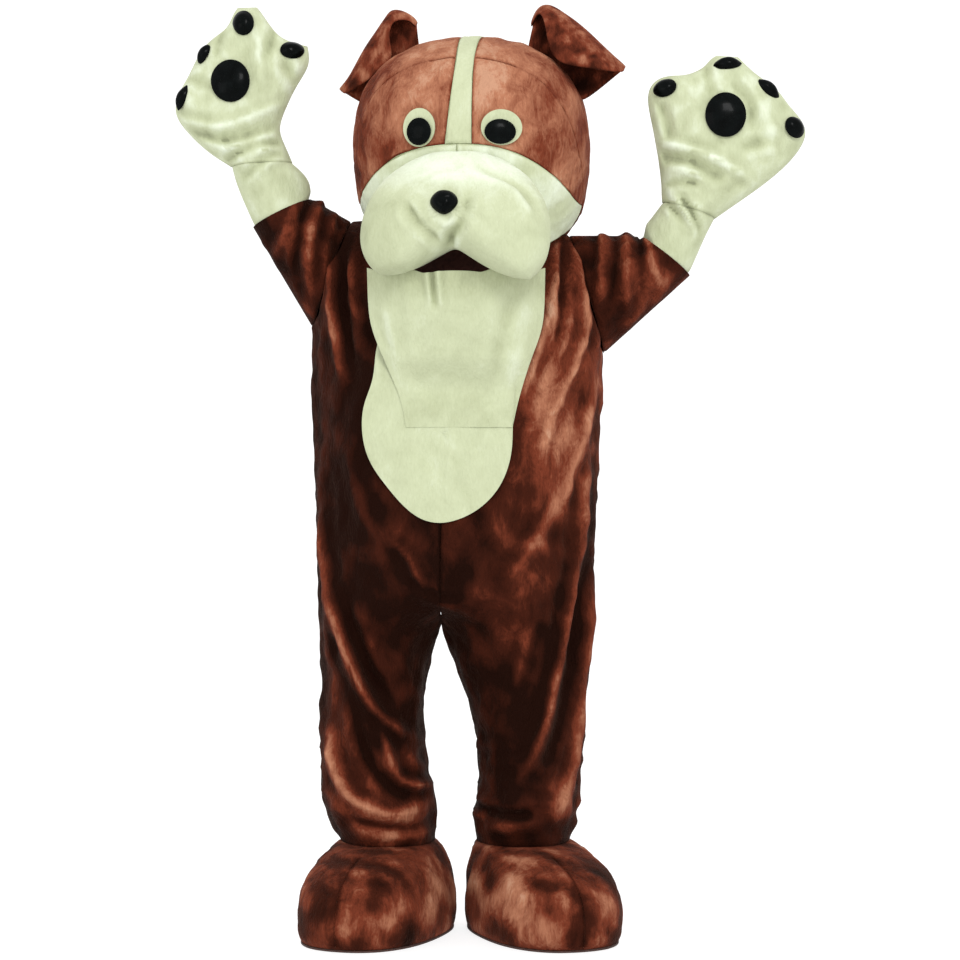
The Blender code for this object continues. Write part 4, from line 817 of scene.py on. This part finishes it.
def tucked_shell(piece, nap=None):
    """Draws in the rims of a shell of the head towards its middle, and lets its cover go a little uneven.
    Given a nap, it paints its seams with painted shade and its swells with painted light.
    """
    at = points_of(piece)
    way = unit(at - HEAD_MIDDLE)
    small = crumpled(at, SHELL_CRUMPLE)
    crown = (at[:, 2] > CROWN_Z) & (abs(at[:, 0] - HEAD_MIDDLE[0]) > CROWN_CLEAR)
    tucked = rims(piece) * np.where(crown, CROWN_TUCK, 1.0)
    rise = 1.2 * MM * small * (tucked == 0) - settings().seam_depth * tucked
    put_points(piece, at + way * rise[:, None])
    if nap is not None:
        swirl = ripple(at, 0.13, 43)
        # Swirls are the nap's own marks. Swells get painted light and seams painted shade.
        nap = nap + HEAD_SWIRL_NAP * swirl + SWELL_PAINTED_LIGHT * small - HEAD_SEAM_PAINTED_SHADE * tucked
        write_nap_and_painted_light(piece, nap)


def build_head():
    for side in SIDES:
        for name in ("face", "back"):
            node = f"head_{name}_{side}"
            piece = cloth(node, 3)
            aside = smooth_step((abs(points_of(piece)[:, 0] - HEAD_MIDDLE[0]) - ASIDE_X) / ASIDE_FADE)
            tucked_shell(piece, HEAD_NAP + (HEAD_SIDE_PAINTED_SHADE_NAP - HEAD_NAP) * aside)
            finish(piece, [node], "brown_plush")
        node = f"head_cheek_{side}"
        piece = cloth(node, 3)
        tucked_shell(piece, CHEEK_PAINTED_LIGHT)
        finish(piece, [node], "white_plush")
    blaze = cloth("head_blaze", 3)
    tucked_shell(blaze)
    finish(blaze, ["head_blaze"], "white_plush")


class COSTUME_OT_head(bpy.types.Operator):
    """Build the foam head's plush panels: cheeks, face, back and the blaze between them"""

    bl_idname = "costume.head"
    bl_label = "Head"

    def execute(self, context):
        build_head()
        return {"FINISHED"}


# ---------- the face

MUZZLE_MIDDLE = np.array([0.024, -0.24, 0.02])
MUZZLE_TOP_PAINTED_LIGHT, MUZZLE_SIDE_PAINTED_SHADE = 0.42, -0.16
MUZZLE_CREASES = [
    Fold(-8, 9, [(-190, 40), (-160, 72), (-125, 95), (-82, 104), (-44, 121), (-10, 128)]),
    Fold(-8, 9, [(10, 118), (46, 100), (84, 86), (119, 65), (142, 31), (150, -5)]),
    Fold(-9, 9, [(-110, 45), (-95, 15), (-70, -18), (-40, -40), (-22, -60)]),
    Fold(-8, 9, [(20, 60), (16, 30), (5, -6), (-18, -35), (-24, -65)]),
    Fold(-9, 9, [(-22, -20), (-22, -50), (-22, -95)]),
    Fold(5, 20, [(-60, 75), (-20, 85), (20, 70)]),
    Fold(5, 9, [(-55, 40), (-50, 8), (-22, -14), (6, 2), (14, 30)]),
]
# The muzzle's creases fade behind this plane. Its top is painted lighter and its right flank painted darker:
# painted light and shade.
MUZZLE_FRONT_Y, MUZZLE_FADE = -0.27, 0.04
MUZZLE_HIGH_Z, MUZZLE_HIGH_FADE = 0.02, 0.10
MUZZLE_FLANK_X, MUZZLE_FLANK_FADE = 0.09, 0.08
EYE_PARTS = (("eye_white", "white_plush"), ("pupil", "gloss_black"))


def build_face():
    muzzle = cloth("muzzle", 3)
    at = points_of(muzzle)
    way = unit(at - MUZZLE_MIDDLE)
    rise, light = fold_height(at, MUZZLE_CREASES, np.full(len(at), FRONT))
    front = smooth_step((MUZZLE_FRONT_Y - at[:, 1]) / MUZZLE_FADE)
    small = crumpled(at, MUZZLE_CRUMPLE)
    put_points(muzzle, at + way * ((rise + 1.8 * MM * small) * front)[:, None])
    high = smooth_step((at[:, 2] - MUZZLE_HIGH_Z) / MUZZLE_HIGH_FADE)
    aside = smooth_step((MUZZLE_MIDDLE[0] - MUZZLE_FLANK_X - at[:, 0]) / MUZZLE_FLANK_FADE) * (1 - high)
    # Painted light and shade: creases darker with lighter sides, the top lighter, the right flank darker.
    write_nap_and_painted_light(muzzle, light * front + MUZZLE_TOP_PAINTED_LIGHT * high + MUZZLE_SIDE_PAINTED_SHADE * aside)
    finish(muzzle, ["muzzle"], "white_plush")
    nose = cloth("nose", 2)
    moved_with(nose, "muzzle")
    finish(nose, ["nose"], "gloss_black", 0)
    for side in SIDES:
        for part, slot in EYE_PARTS:
            name = f"{part}_{side}"
            piece = cloth(name, 2)
            moved_with(piece, f"head_face_{side}")
            finish(piece, [name], slot, 0)


class COSTUME_OT_face(bpy.types.Operator):
    """Build the padded muzzle, the nose and the eyes"""

    bl_idname = "costume.face"
    bl_label = "Muzzle, nose and eyes"

    def execute(self, context):
        build_face()
        return {"FINISHED"}


# ---------- the mouth and the bib

BIB_FOLDS = [
    Fold(4, 6, [(-62, -70), (-60, -110), (-52, -160)]),
    Fold(-5, 6, [(-52, -70), (-50, -120), (-44, -170)]),
    Fold(4, 6, [(-42, -70), (-38, -120), (-32, -170)]),
    Fold(-4, 8, [(-165, -150), (-150, -200), (-132, -250)]),
    Fold(4, 16, [(-150, -130), (-130, -240), (-100, -330)]),
    Fold(4, 18, [(140, -130), (120, -230), (90, -330)]),
    Fold(-3, 14, [(100, -120), (80, -210), (60, -320)]),
]
# Above this height the bib hangs free. Below it, it lies close on the belly.
BIB_FREE_Z, BIB_CLOSE = -0.300, 0.22
BIB_LOW_Z, BIB_HALF, BIB_MIDDLE_X = -0.382, 0.175, -0.006
# The bib's top edge rises behind the jowls on either side of the mouth's opening.
BIB_TOP_Z, MOUTH_X, MOUTH_HALF, LIP_RISE = -0.085, -0.012, 0.050, 0.012


def build_mouth():
    bib = cloth("chin_bib", 3)
    at = points_of(bib)
    rise, light = fold_height(at, BIB_FOLDS, np.full(len(at), FRONT))
    free = smooth_step((at[:, 2] - BIB_LOW_Z) / 0.10)
    free = free * smooth_step((BIB_HALF - abs(at[:, 0] - BIB_MIDDLE_X)) / 0.03)
    small = ripple(at * (1, 1, 0.5), 0.06, 61)
    at[:, 1] -= (rise + 1.5 * MM * small) * free
    lip = smooth_step((abs(at[:, 0] - MOUTH_X) - MOUTH_HALF) / 0.03)
    at[:, 2] += LIP_RISE * lip * smooth_step((at[:, 2] - BIB_TOP_Z + 0.05) / 0.05)
    under = dressed("belly_patch", "suit_front_r", "suit_front_l")
    for k in np.flatnonzero(at[:, 2] < BIB_FREE_Z + 0.05):
        x, y, z = at[k]
        belly = under.ray_cast((x, -1, z), (0, 1, 0))[0]
        if belly and y < belly.y:
            close = smooth_step((BIB_FREE_Z + 0.05 - z) / 0.07)
            at[k, 1] = belly.y + (y - belly.y) * (1 - (1 - BIB_CLOSE) * close)
    put_points(bib, at)
    # Painted shade: the bib's top, under the jowls, and its lower part, where it lies on the belly, are
    # painted darker. Its folds get painted light and shade.
    shaded = smooth_step((at[:, 2] + 0.16) / 0.06) + 0.4 * smooth_step((BIB_FREE_Z - at[:, 2]) / 0.06)
    write_nap_and_painted_light(bib, light * free - 0.20 * shaded)
    finish(bib, ["chin_bib"], "white_plush")
    lining = cloth("mouth_lining", 2)
    finish(lining, ["mouth_lining"], "mouth_cloth")


class COSTUME_OT_mouth(bpy.types.Operator):
    """Build the dark mouth and the bib that hangs from its lip"""

    bl_idname = "costume.mouth"
    bl_label = "Mouth and bib"

    def execute(self, context):
        build_mouth()
        return {"FINISHED"}


# ---------- the ears

# An ear's foot sinks into the head's plush by this much, fading with the distance from the head.
EAR_SINK, EAR_REACH = 0.009, 0.030
# The ear's nap, the painted shade in its hollow, the painted light where it faces up, and the painted sheen
# on its rims.
EAR_NAP, EAR_HOLLOW_PAINTED_SHADE, EAR_TOP_PAINTED_LIGHT, EAR_RIM_PAINTED_SHEEN = 0.44, -0.34, 0.20, 0.22
EAR_RIM_ANGLE = 30


def build_ears():
    for side in SIDES:
        node = f"ear_{side}"
        piece = cloth(node, 3, SOFT_RIM)
        at = points_of(piece)
        ways = np.empty(len(piece.data.vertices) * 3)
        piece.data.vertices.foreach_get("normal", ways)
        ways = ways.reshape(-1, 3)
        inward = ((at.mean(axis=0) - at) * ways).sum(axis=1)
        small = crumpled(at, EAR_CRUMPLE)
        head = dressed(f"head_back_{side}", f"head_face_{side}")
        gaps = np.array([head.find_nearest(place)[3] for place in at])
        put_points(piece, at - unit(at - HEAD_MIDDLE) * (EAR_SINK * bump(gaps, EAR_REACH))[:, None])
        # Painted light and shade: the hollow darker, up-facing parts lighter, rims lighter as painted sheen,
        # small swells a little lighter.
        nap = EAR_NAP + EAR_HOLLOW_PAINTED_SHADE * smooth_step(inward / 0.02) + EAR_TOP_PAINTED_LIGHT * np.clip(ways[:, 2], -1, 1)
        write_nap_and_painted_light(piece, nap + 0.12 * small + EAR_RIM_PAINTED_SHEEN * rims(piece, EAR_RIM_ANGLE))
        finish(piece, [node], "brown_plush", 0)


class COSTUME_OT_ears(bpy.types.Operator):
    """Build the two folded ears"""

    bl_idname = "costume.ears"
    bl_label = "Ears"

    def execute(self, context):
        build_ears()
        return {"FINISHED"}


# ---------- the gloves

GLOVE_FOLDS = {
    "r": [
        Fold(6, 9, [
            (-600, 236), (-555, 224), (-500, 206), (-455, 205), (-406, 224), (-345, 252), (-310, 268),
        ]),
        Fold(-7, 10, [(-540, 205), (-500, 184), (-450, 178), (-400, 192), (-335, 222)]),
        Fold(5, 8, [(-520, 196), (-490, 172), (-455, 160), (-425, 176)]),
        Fold(-7, 8, [(-490, 122), (-458, 142), (-418, 162), (-389, 174), (-320, 178)]),
        Fold(-6, 8, [(-440, 96), (-410, 118), (-383, 143), (-335, 163)]),
        Fold(-8, 11, [(-350, 345), (-338, 318), (-318, 290), (-305, 265)]),
        Fold(-6, 10, [(-480, 330), (-474, 365), (-464, 405), (-456, 440)]),
        Fold(5, 12, [(-395, 400), (-393, 340), (-385, 280)]),
        Fold(-6, 10, [(-383, 330), (-372, 370), (-358, 415)]),
        Fold(-6, 10, [(-480, 275), (-510, 297), (-555, 310)]),
        Fold(5, 14, [(-540, 300), (-535, 255), (-505, 225)]),
    ],
    "l": [
        Fold(7, 9, [(350, 184), (386, 177), (448, 164), (493, 146), (539, 120), (600, 86)]),
        Fold(-8, 11, [(360, 158), (420, 146), (480, 122), (535, 92)]),
        Fold(5, 10, [(395, 118), (425, 127), (455, 122), (480, 104)]),
        Fold(-7, 8, [(370, 96), (405, 94), (445, 97), (480, 92)]),
        Fold(-7, 8, [(385, 78), (405, 60), (426, 42), (437, 15), (440, -10)]),
        Fold(5, 8, [(410, 75), (428, 52), (446, 25), (456, -10)]),
        Fold(-7, 8, [(428, 76), (442, 55), (464, 26), (476, -6), (482, -25)]),
        Fold(5, 8, [(374, 55), (384, 30), (395, -1), (398, -59)]),
        Fold(-8, 10, [(392, 262), (402, 235), (411, 200), (414, 180)]),
        Fold(-6, 9, [(482, 335), (486, 305), (490, 280), (494, 262)]),
        Fold(-7, 11, [(525, 305), (542, 284), (567, 253), (572, 222), (570, 190)]),
        Fold(6, 14, [(590, 270), (602, 225), (612, 180), (600, 140)]),
        Fold(-6, 12, [(545, 160), (570, 170), (610, 175), (640, 170)]),
    ],
}
GLOVE_Y, GLOVE_FADE = -0.066, 0.02
# How much slimmer a cuff is where the sleeve covers it, and over which share of the arm it gets so.
CUFF_INSET, CUFF_SHARE = 0.011, 0.12
# A cuff's folds begin this far from its arm's end, where the sleeve lets it go.
CUFF_CLEAR, CUFF_FADE = 0.055, 0.03
# How much of the folds' painted light and shade the gloves take, the painted light on swells, and the painted
# shade in the seams.
GLOVE_FOLD_PAINTED_SHADING, GLOVE_SWELL_PAINTED_LIGHT, GLOVE_SEAM_PAINTED_SHADE = 1.25, 0.08, 0.3


def build_gloves():
    for side in SIDES:
        for name in ("cuff", "palm", "back"):
            node = f"glove_{name}_{side}"
            piece = cloth(node, 3)
            at = points_of(piece)
            ahead = np.where(at[:, 1] < GLOVE_Y, -1.0, 1.0)
            rise, light = fold_height(at, GLOVE_FOLDS[side], np.full(len(at), FRONT))
            off_seam = smooth_step(abs(at[:, 1] - GLOVE_Y) / GLOVE_FADE)
            small = crumpled(at, GLOVE_CRUMPLE)
            if name == "cuff":
                end_x, _, end_z = ARM_AXIS[side][1]
                off_sleeve = np.hypot(at[:, 0] - end_x, at[:, 2] - end_z) - CUFF_CLEAR
                off_seam = off_seam * smooth_step(off_sleeve / CUFF_FADE)
            at[:, 1] += ahead * (rise + 1.2 * MM * small) * off_seam
            if name == "cuff":
                way, along = from_axis(at, *ARM_AXIS[side])
                at -= way * (CUFF_INSET * smooth_step((1 - along) / CUFF_SHARE))[:, None]
            put_points(piece, at)
            # Painted light on fold crests and swells, painted shade on fold flanks and seams.
            nap = GLOVE_FOLD_PAINTED_SHADING * light * off_seam + GLOVE_SWELL_PAINTED_LIGHT * small
            write_nap_and_painted_light(piece, nap - GLOVE_SEAM_PAINTED_SHADE * rims(piece))
            finish(piece, [node], "white_plush")
        for name in ("palm_pad", "claw_1", "claw_2", "claw_3", "claw_4"):
            node = f"{name}_{side}"
            piece = cloth(node, 2)
            moved_with(piece, f"glove_palm_{side}")
            finish(piece, [node], "gloss_black", 0)


class COSTUME_OT_gloves(bpy.types.Operator):
    """Build the two paw gloves with their pads and claws"""

    bl_idname = "costume.gloves"
    bl_label = "Paw gloves"

    def execute(self, context):
        build_gloves()
        return {"FINISHED"}


# ---------- the feet

FOOT_MIDDLE = {"r": np.array([-0.16, -0.07, -1.32]), "l": np.array([0.163, -0.07, -1.32])}
FOOT_NAP = {"r": 0.36, "l": 0.38}
# The trouser leg covers a foot above this height, where it keeps its solid's form. The second number is the
# painted shade in the foot's seams.
FOOT_SEAT_Z, FOOT_SEAM_PAINTED_SHADE = -1.216, 0.12


def build_feet():
    now = settings()
    for side in SIDES:
        for name in ("outer", "inner"):
            node = f"foot_{name}_{side}"
            piece = cloth(node, 2)
            at = points_of(piece)
            way = unit(at - FOOT_MIDDLE[side])
            small = crumpled(at, FOOT_CRUMPLE)
            seat = at[:, 2] > FOOT_SEAT_Z
            tucked = rims(piece) & (at[:, 2] < FOOT_SEAT_Z) & (at[:, 2] > FLOOR_Z + 12 * MM)
            off_floor = smooth_step((at[:, 2] - FLOOR_Z - 0.01) / 0.03)
            rise = 1.6 * MM * small * ~seat * off_floor - 1.3 * now.seam_depth * tucked
            put_points(piece, at + way * rise[:, None])
            # Swells are painted a little lighter and seams painted darker. The ripple is the nap's own
            # unevenness.
            base = FOOT_NAP[side] + 0.16 * ripple(at, 0.12, 93) + 0.10 * small
            write_nap_and_painted_light(piece, nap_and_painted_sheen_at(at, base, 0.10) - FOOT_SEAM_PAINTED_SHADE * tucked)
            finish(piece, [node], "brown_plush")
        sole = cloth(f"foot_sole_{side}", 2)
        finish(sole, [f"foot_sole_{side}"], "sole_rubber", 0.5 * MM)


class COSTUME_OT_feet(bpy.types.Operator):
    """Build the two padded feet with their soles"""

    bl_idname = "costume.feet"
    bl_label = "Feet"

    def execute(self, context):
        build_feet()
        return {"FINISHED"}


# ---------- the stage

CAMERA_AT = (0.04, -5.0, -0.487)
LENS, SENSOR, CLIP_END = 93.75, 36, 60
PAPER_GREY, PAPER_GLOW = (0.30, 0.30, 0.30), 0.80
# The paper's floor and wall stand clear of a camera that goes round the costume.
STAGE_NEAR, STAGE_FAR, STAGE_HIGH, STAGE_WIDE = -12.0, 7.5, 8.5, 15.0
STAGE_COVE, STAGE_BELOW = 2.8, 0.5 * MM
# Past the paper the backdrop is white, but it lights the costume less than it shows.
WORLD_STRENGTH, BACKDROP_WHITE = 0.30, 1.0
Lamp = namedtuple("Lamp", "name place aim size share")
LAMPS = (
    Lamp("key_light", (1.2, -4.2, 2.3), (0.0, 0.0, -0.4), 1.3, 1.0),
    Lamp("fill_light", (-2.6, -3.6, 0.4), (0.0, 0.0, -0.5), 2.2, 0.22),
)


def select_edges(mesh, wanted):
    """Selects the edges whose both ends are wanted."""
    for edge in mesh.edges:
        edge.select = all(wanted(mesh.vertices[i].co) for i in edge.vertices)


def build_paper():
    bpy.ops.object.select_all(action="DESELECT")
    bpy.ops.mesh.primitive_plane_add(size=1.0, location=(0, 0, 0))
    floor = bpy.context.active_object
    floor.name = "studio_floor"
    bpy.ops.object.mode_set(mode="EDIT")
    bpy.ops.transform.resize(value=(2 * STAGE_WIDE, STAGE_FAR - STAGE_NEAR, 1))
    bpy.ops.transform.translate(value=(0, (STAGE_FAR + STAGE_NEAR) / 2, FLOOR_Z - STAGE_BELOW))
    bpy.ops.mesh.select_mode(type="EDGE")
    bpy.ops.object.mode_set(mode="OBJECT")
    select_edges(floor.data, lambda end: end.y > 0)
    bpy.ops.object.mode_set(mode="EDIT")
    bpy.ops.mesh.extrude_region_move(TRANSFORM_OT_translate={"value": (0, 0, STAGE_HIGH)})
    bpy.ops.object.mode_set(mode="OBJECT")
    select_edges(floor.data, lambda end: end.y > 0 and end.z < 0)
    bpy.ops.object.mode_set(mode="EDIT")
    bpy.ops.mesh.bevel(offset=STAGE_COVE, segments=16, affect="EDGES")
    bpy.ops.object.mode_set(mode="OBJECT")
    bpy.ops.object.shade_smooth()
    floor.data.materials.append(studio_paper())


def build_world():
    world = bpy.data.worlds.new("studio")
    world.use_nodes = True
    tree = world.node_tree
    seen = tree.nodes.new("ShaderNodeLightPath")
    strength = tree.nodes.new("ShaderNodeMapRange")
    strength.inputs["To Min"].default_value = WORLD_STRENGTH
    strength.inputs["To Max"].default_value = BACKDROP_WHITE
    tree.links.new(seen.outputs["Is Camera Ray"], strength.inputs["Value"])
    tree.links.new(strength.outputs["Result"], tree.nodes["Background"].inputs["Strength"])
    tree.nodes["Background"].inputs["Color"].default_value = (1, 1, 1, 1)
    bpy.context.scene.world = world


def build_lamps():
    for row in LAMPS:
        bpy.ops.object.light_add(type="AREA", location=row.place)
        lamp = bpy.context.active_object
        lamp.name = row.name
        lamp.data.size = row.size
        lamp.data.energy = settings().light_power * row.share
        x, y, z = np.array(row.aim) - np.array(row.place)
        lamp.rotation_euler = (math.atan2(math.hypot(x, y), -z), 0, math.atan2(y, x) - math.pi / 2)


def build_camera():
    bpy.ops.object.camera_add(location=CAMERA_AT, rotation=(math.pi / 2, 0, 0))
    camera = bpy.context.active_object
    camera.name = "camera"
    camera.data.lens = LENS
    camera.data.sensor_width = SENSOR
    camera.data.clip_end = CLIP_END
    bpy.context.scene.camera = camera
    bpy.context.scene.view_settings.view_transform = "Standard"


def build_stage():
    build_paper()
    build_world()
    build_lamps()
    build_camera()


class COSTUME_OT_stage(bpy.types.Operator):
    """Set up the paper floor, the lights and the camera"""

    bl_idname = "costume.stage"
    bl_label = "Stage"

    def execute(self, context):
        build_stage()
        return {"FINISHED"}


# ---------- panel and running


class COSTUME_PT_panel(bpy.types.Panel):
    """The costume's settings and the steps that build it"""

    bl_label = "Dog mascot costume"
    bl_idname = "COSTUME_PT_panel"
    bl_space_type = "VIEW_3D"
    bl_region_type = "UI"
    bl_category = "Costume"

    def draw(self, context):
        now = context.scene.costume_settings
        for name in now.bl_rna.properties.keys():
            if name not in ("rna_type", "name"):
                self.layout.prop(now, name)
        for step in STEPS:
            self.layout.operator(step.bl_idname)


STEPS = (
    COSTUME_OT_stage,
    COSTUME_OT_suit,
    COSTUME_OT_sleeves,
    COSTUME_OT_head,
    COSTUME_OT_face,
    COSTUME_OT_mouth,
    COSTUME_OT_ears,
    COSTUME_OT_gloves,
    COSTUME_OT_feet,
)
CLASSES = (CostumeSettings, *STEPS, COSTUME_PT_panel)


def register():
    for item in CLASSES:
        bpy.utils.register_class(item)
    bpy.types.Scene.costume_settings = PointerProperty(type=CostumeSettings)


def unregister():
    del bpy.types.Scene.costume_settings
    for item in reversed(CLASSES):
        bpy.utils.unregister_class(item)


def main():
    register()
    bpy.ops.costume.stage()
    bpy.ops.costume.suit()
    bpy.ops.costume.sleeves()
    bpy.ops.costume.head()
    bpy.ops.costume.face()
    bpy.ops.costume.mouth()
    bpy.ops.costume.ears()
    bpy.ops.costume.gloves()
    bpy.ops.costume.feet()


if __name__ == "__main__":
    main()
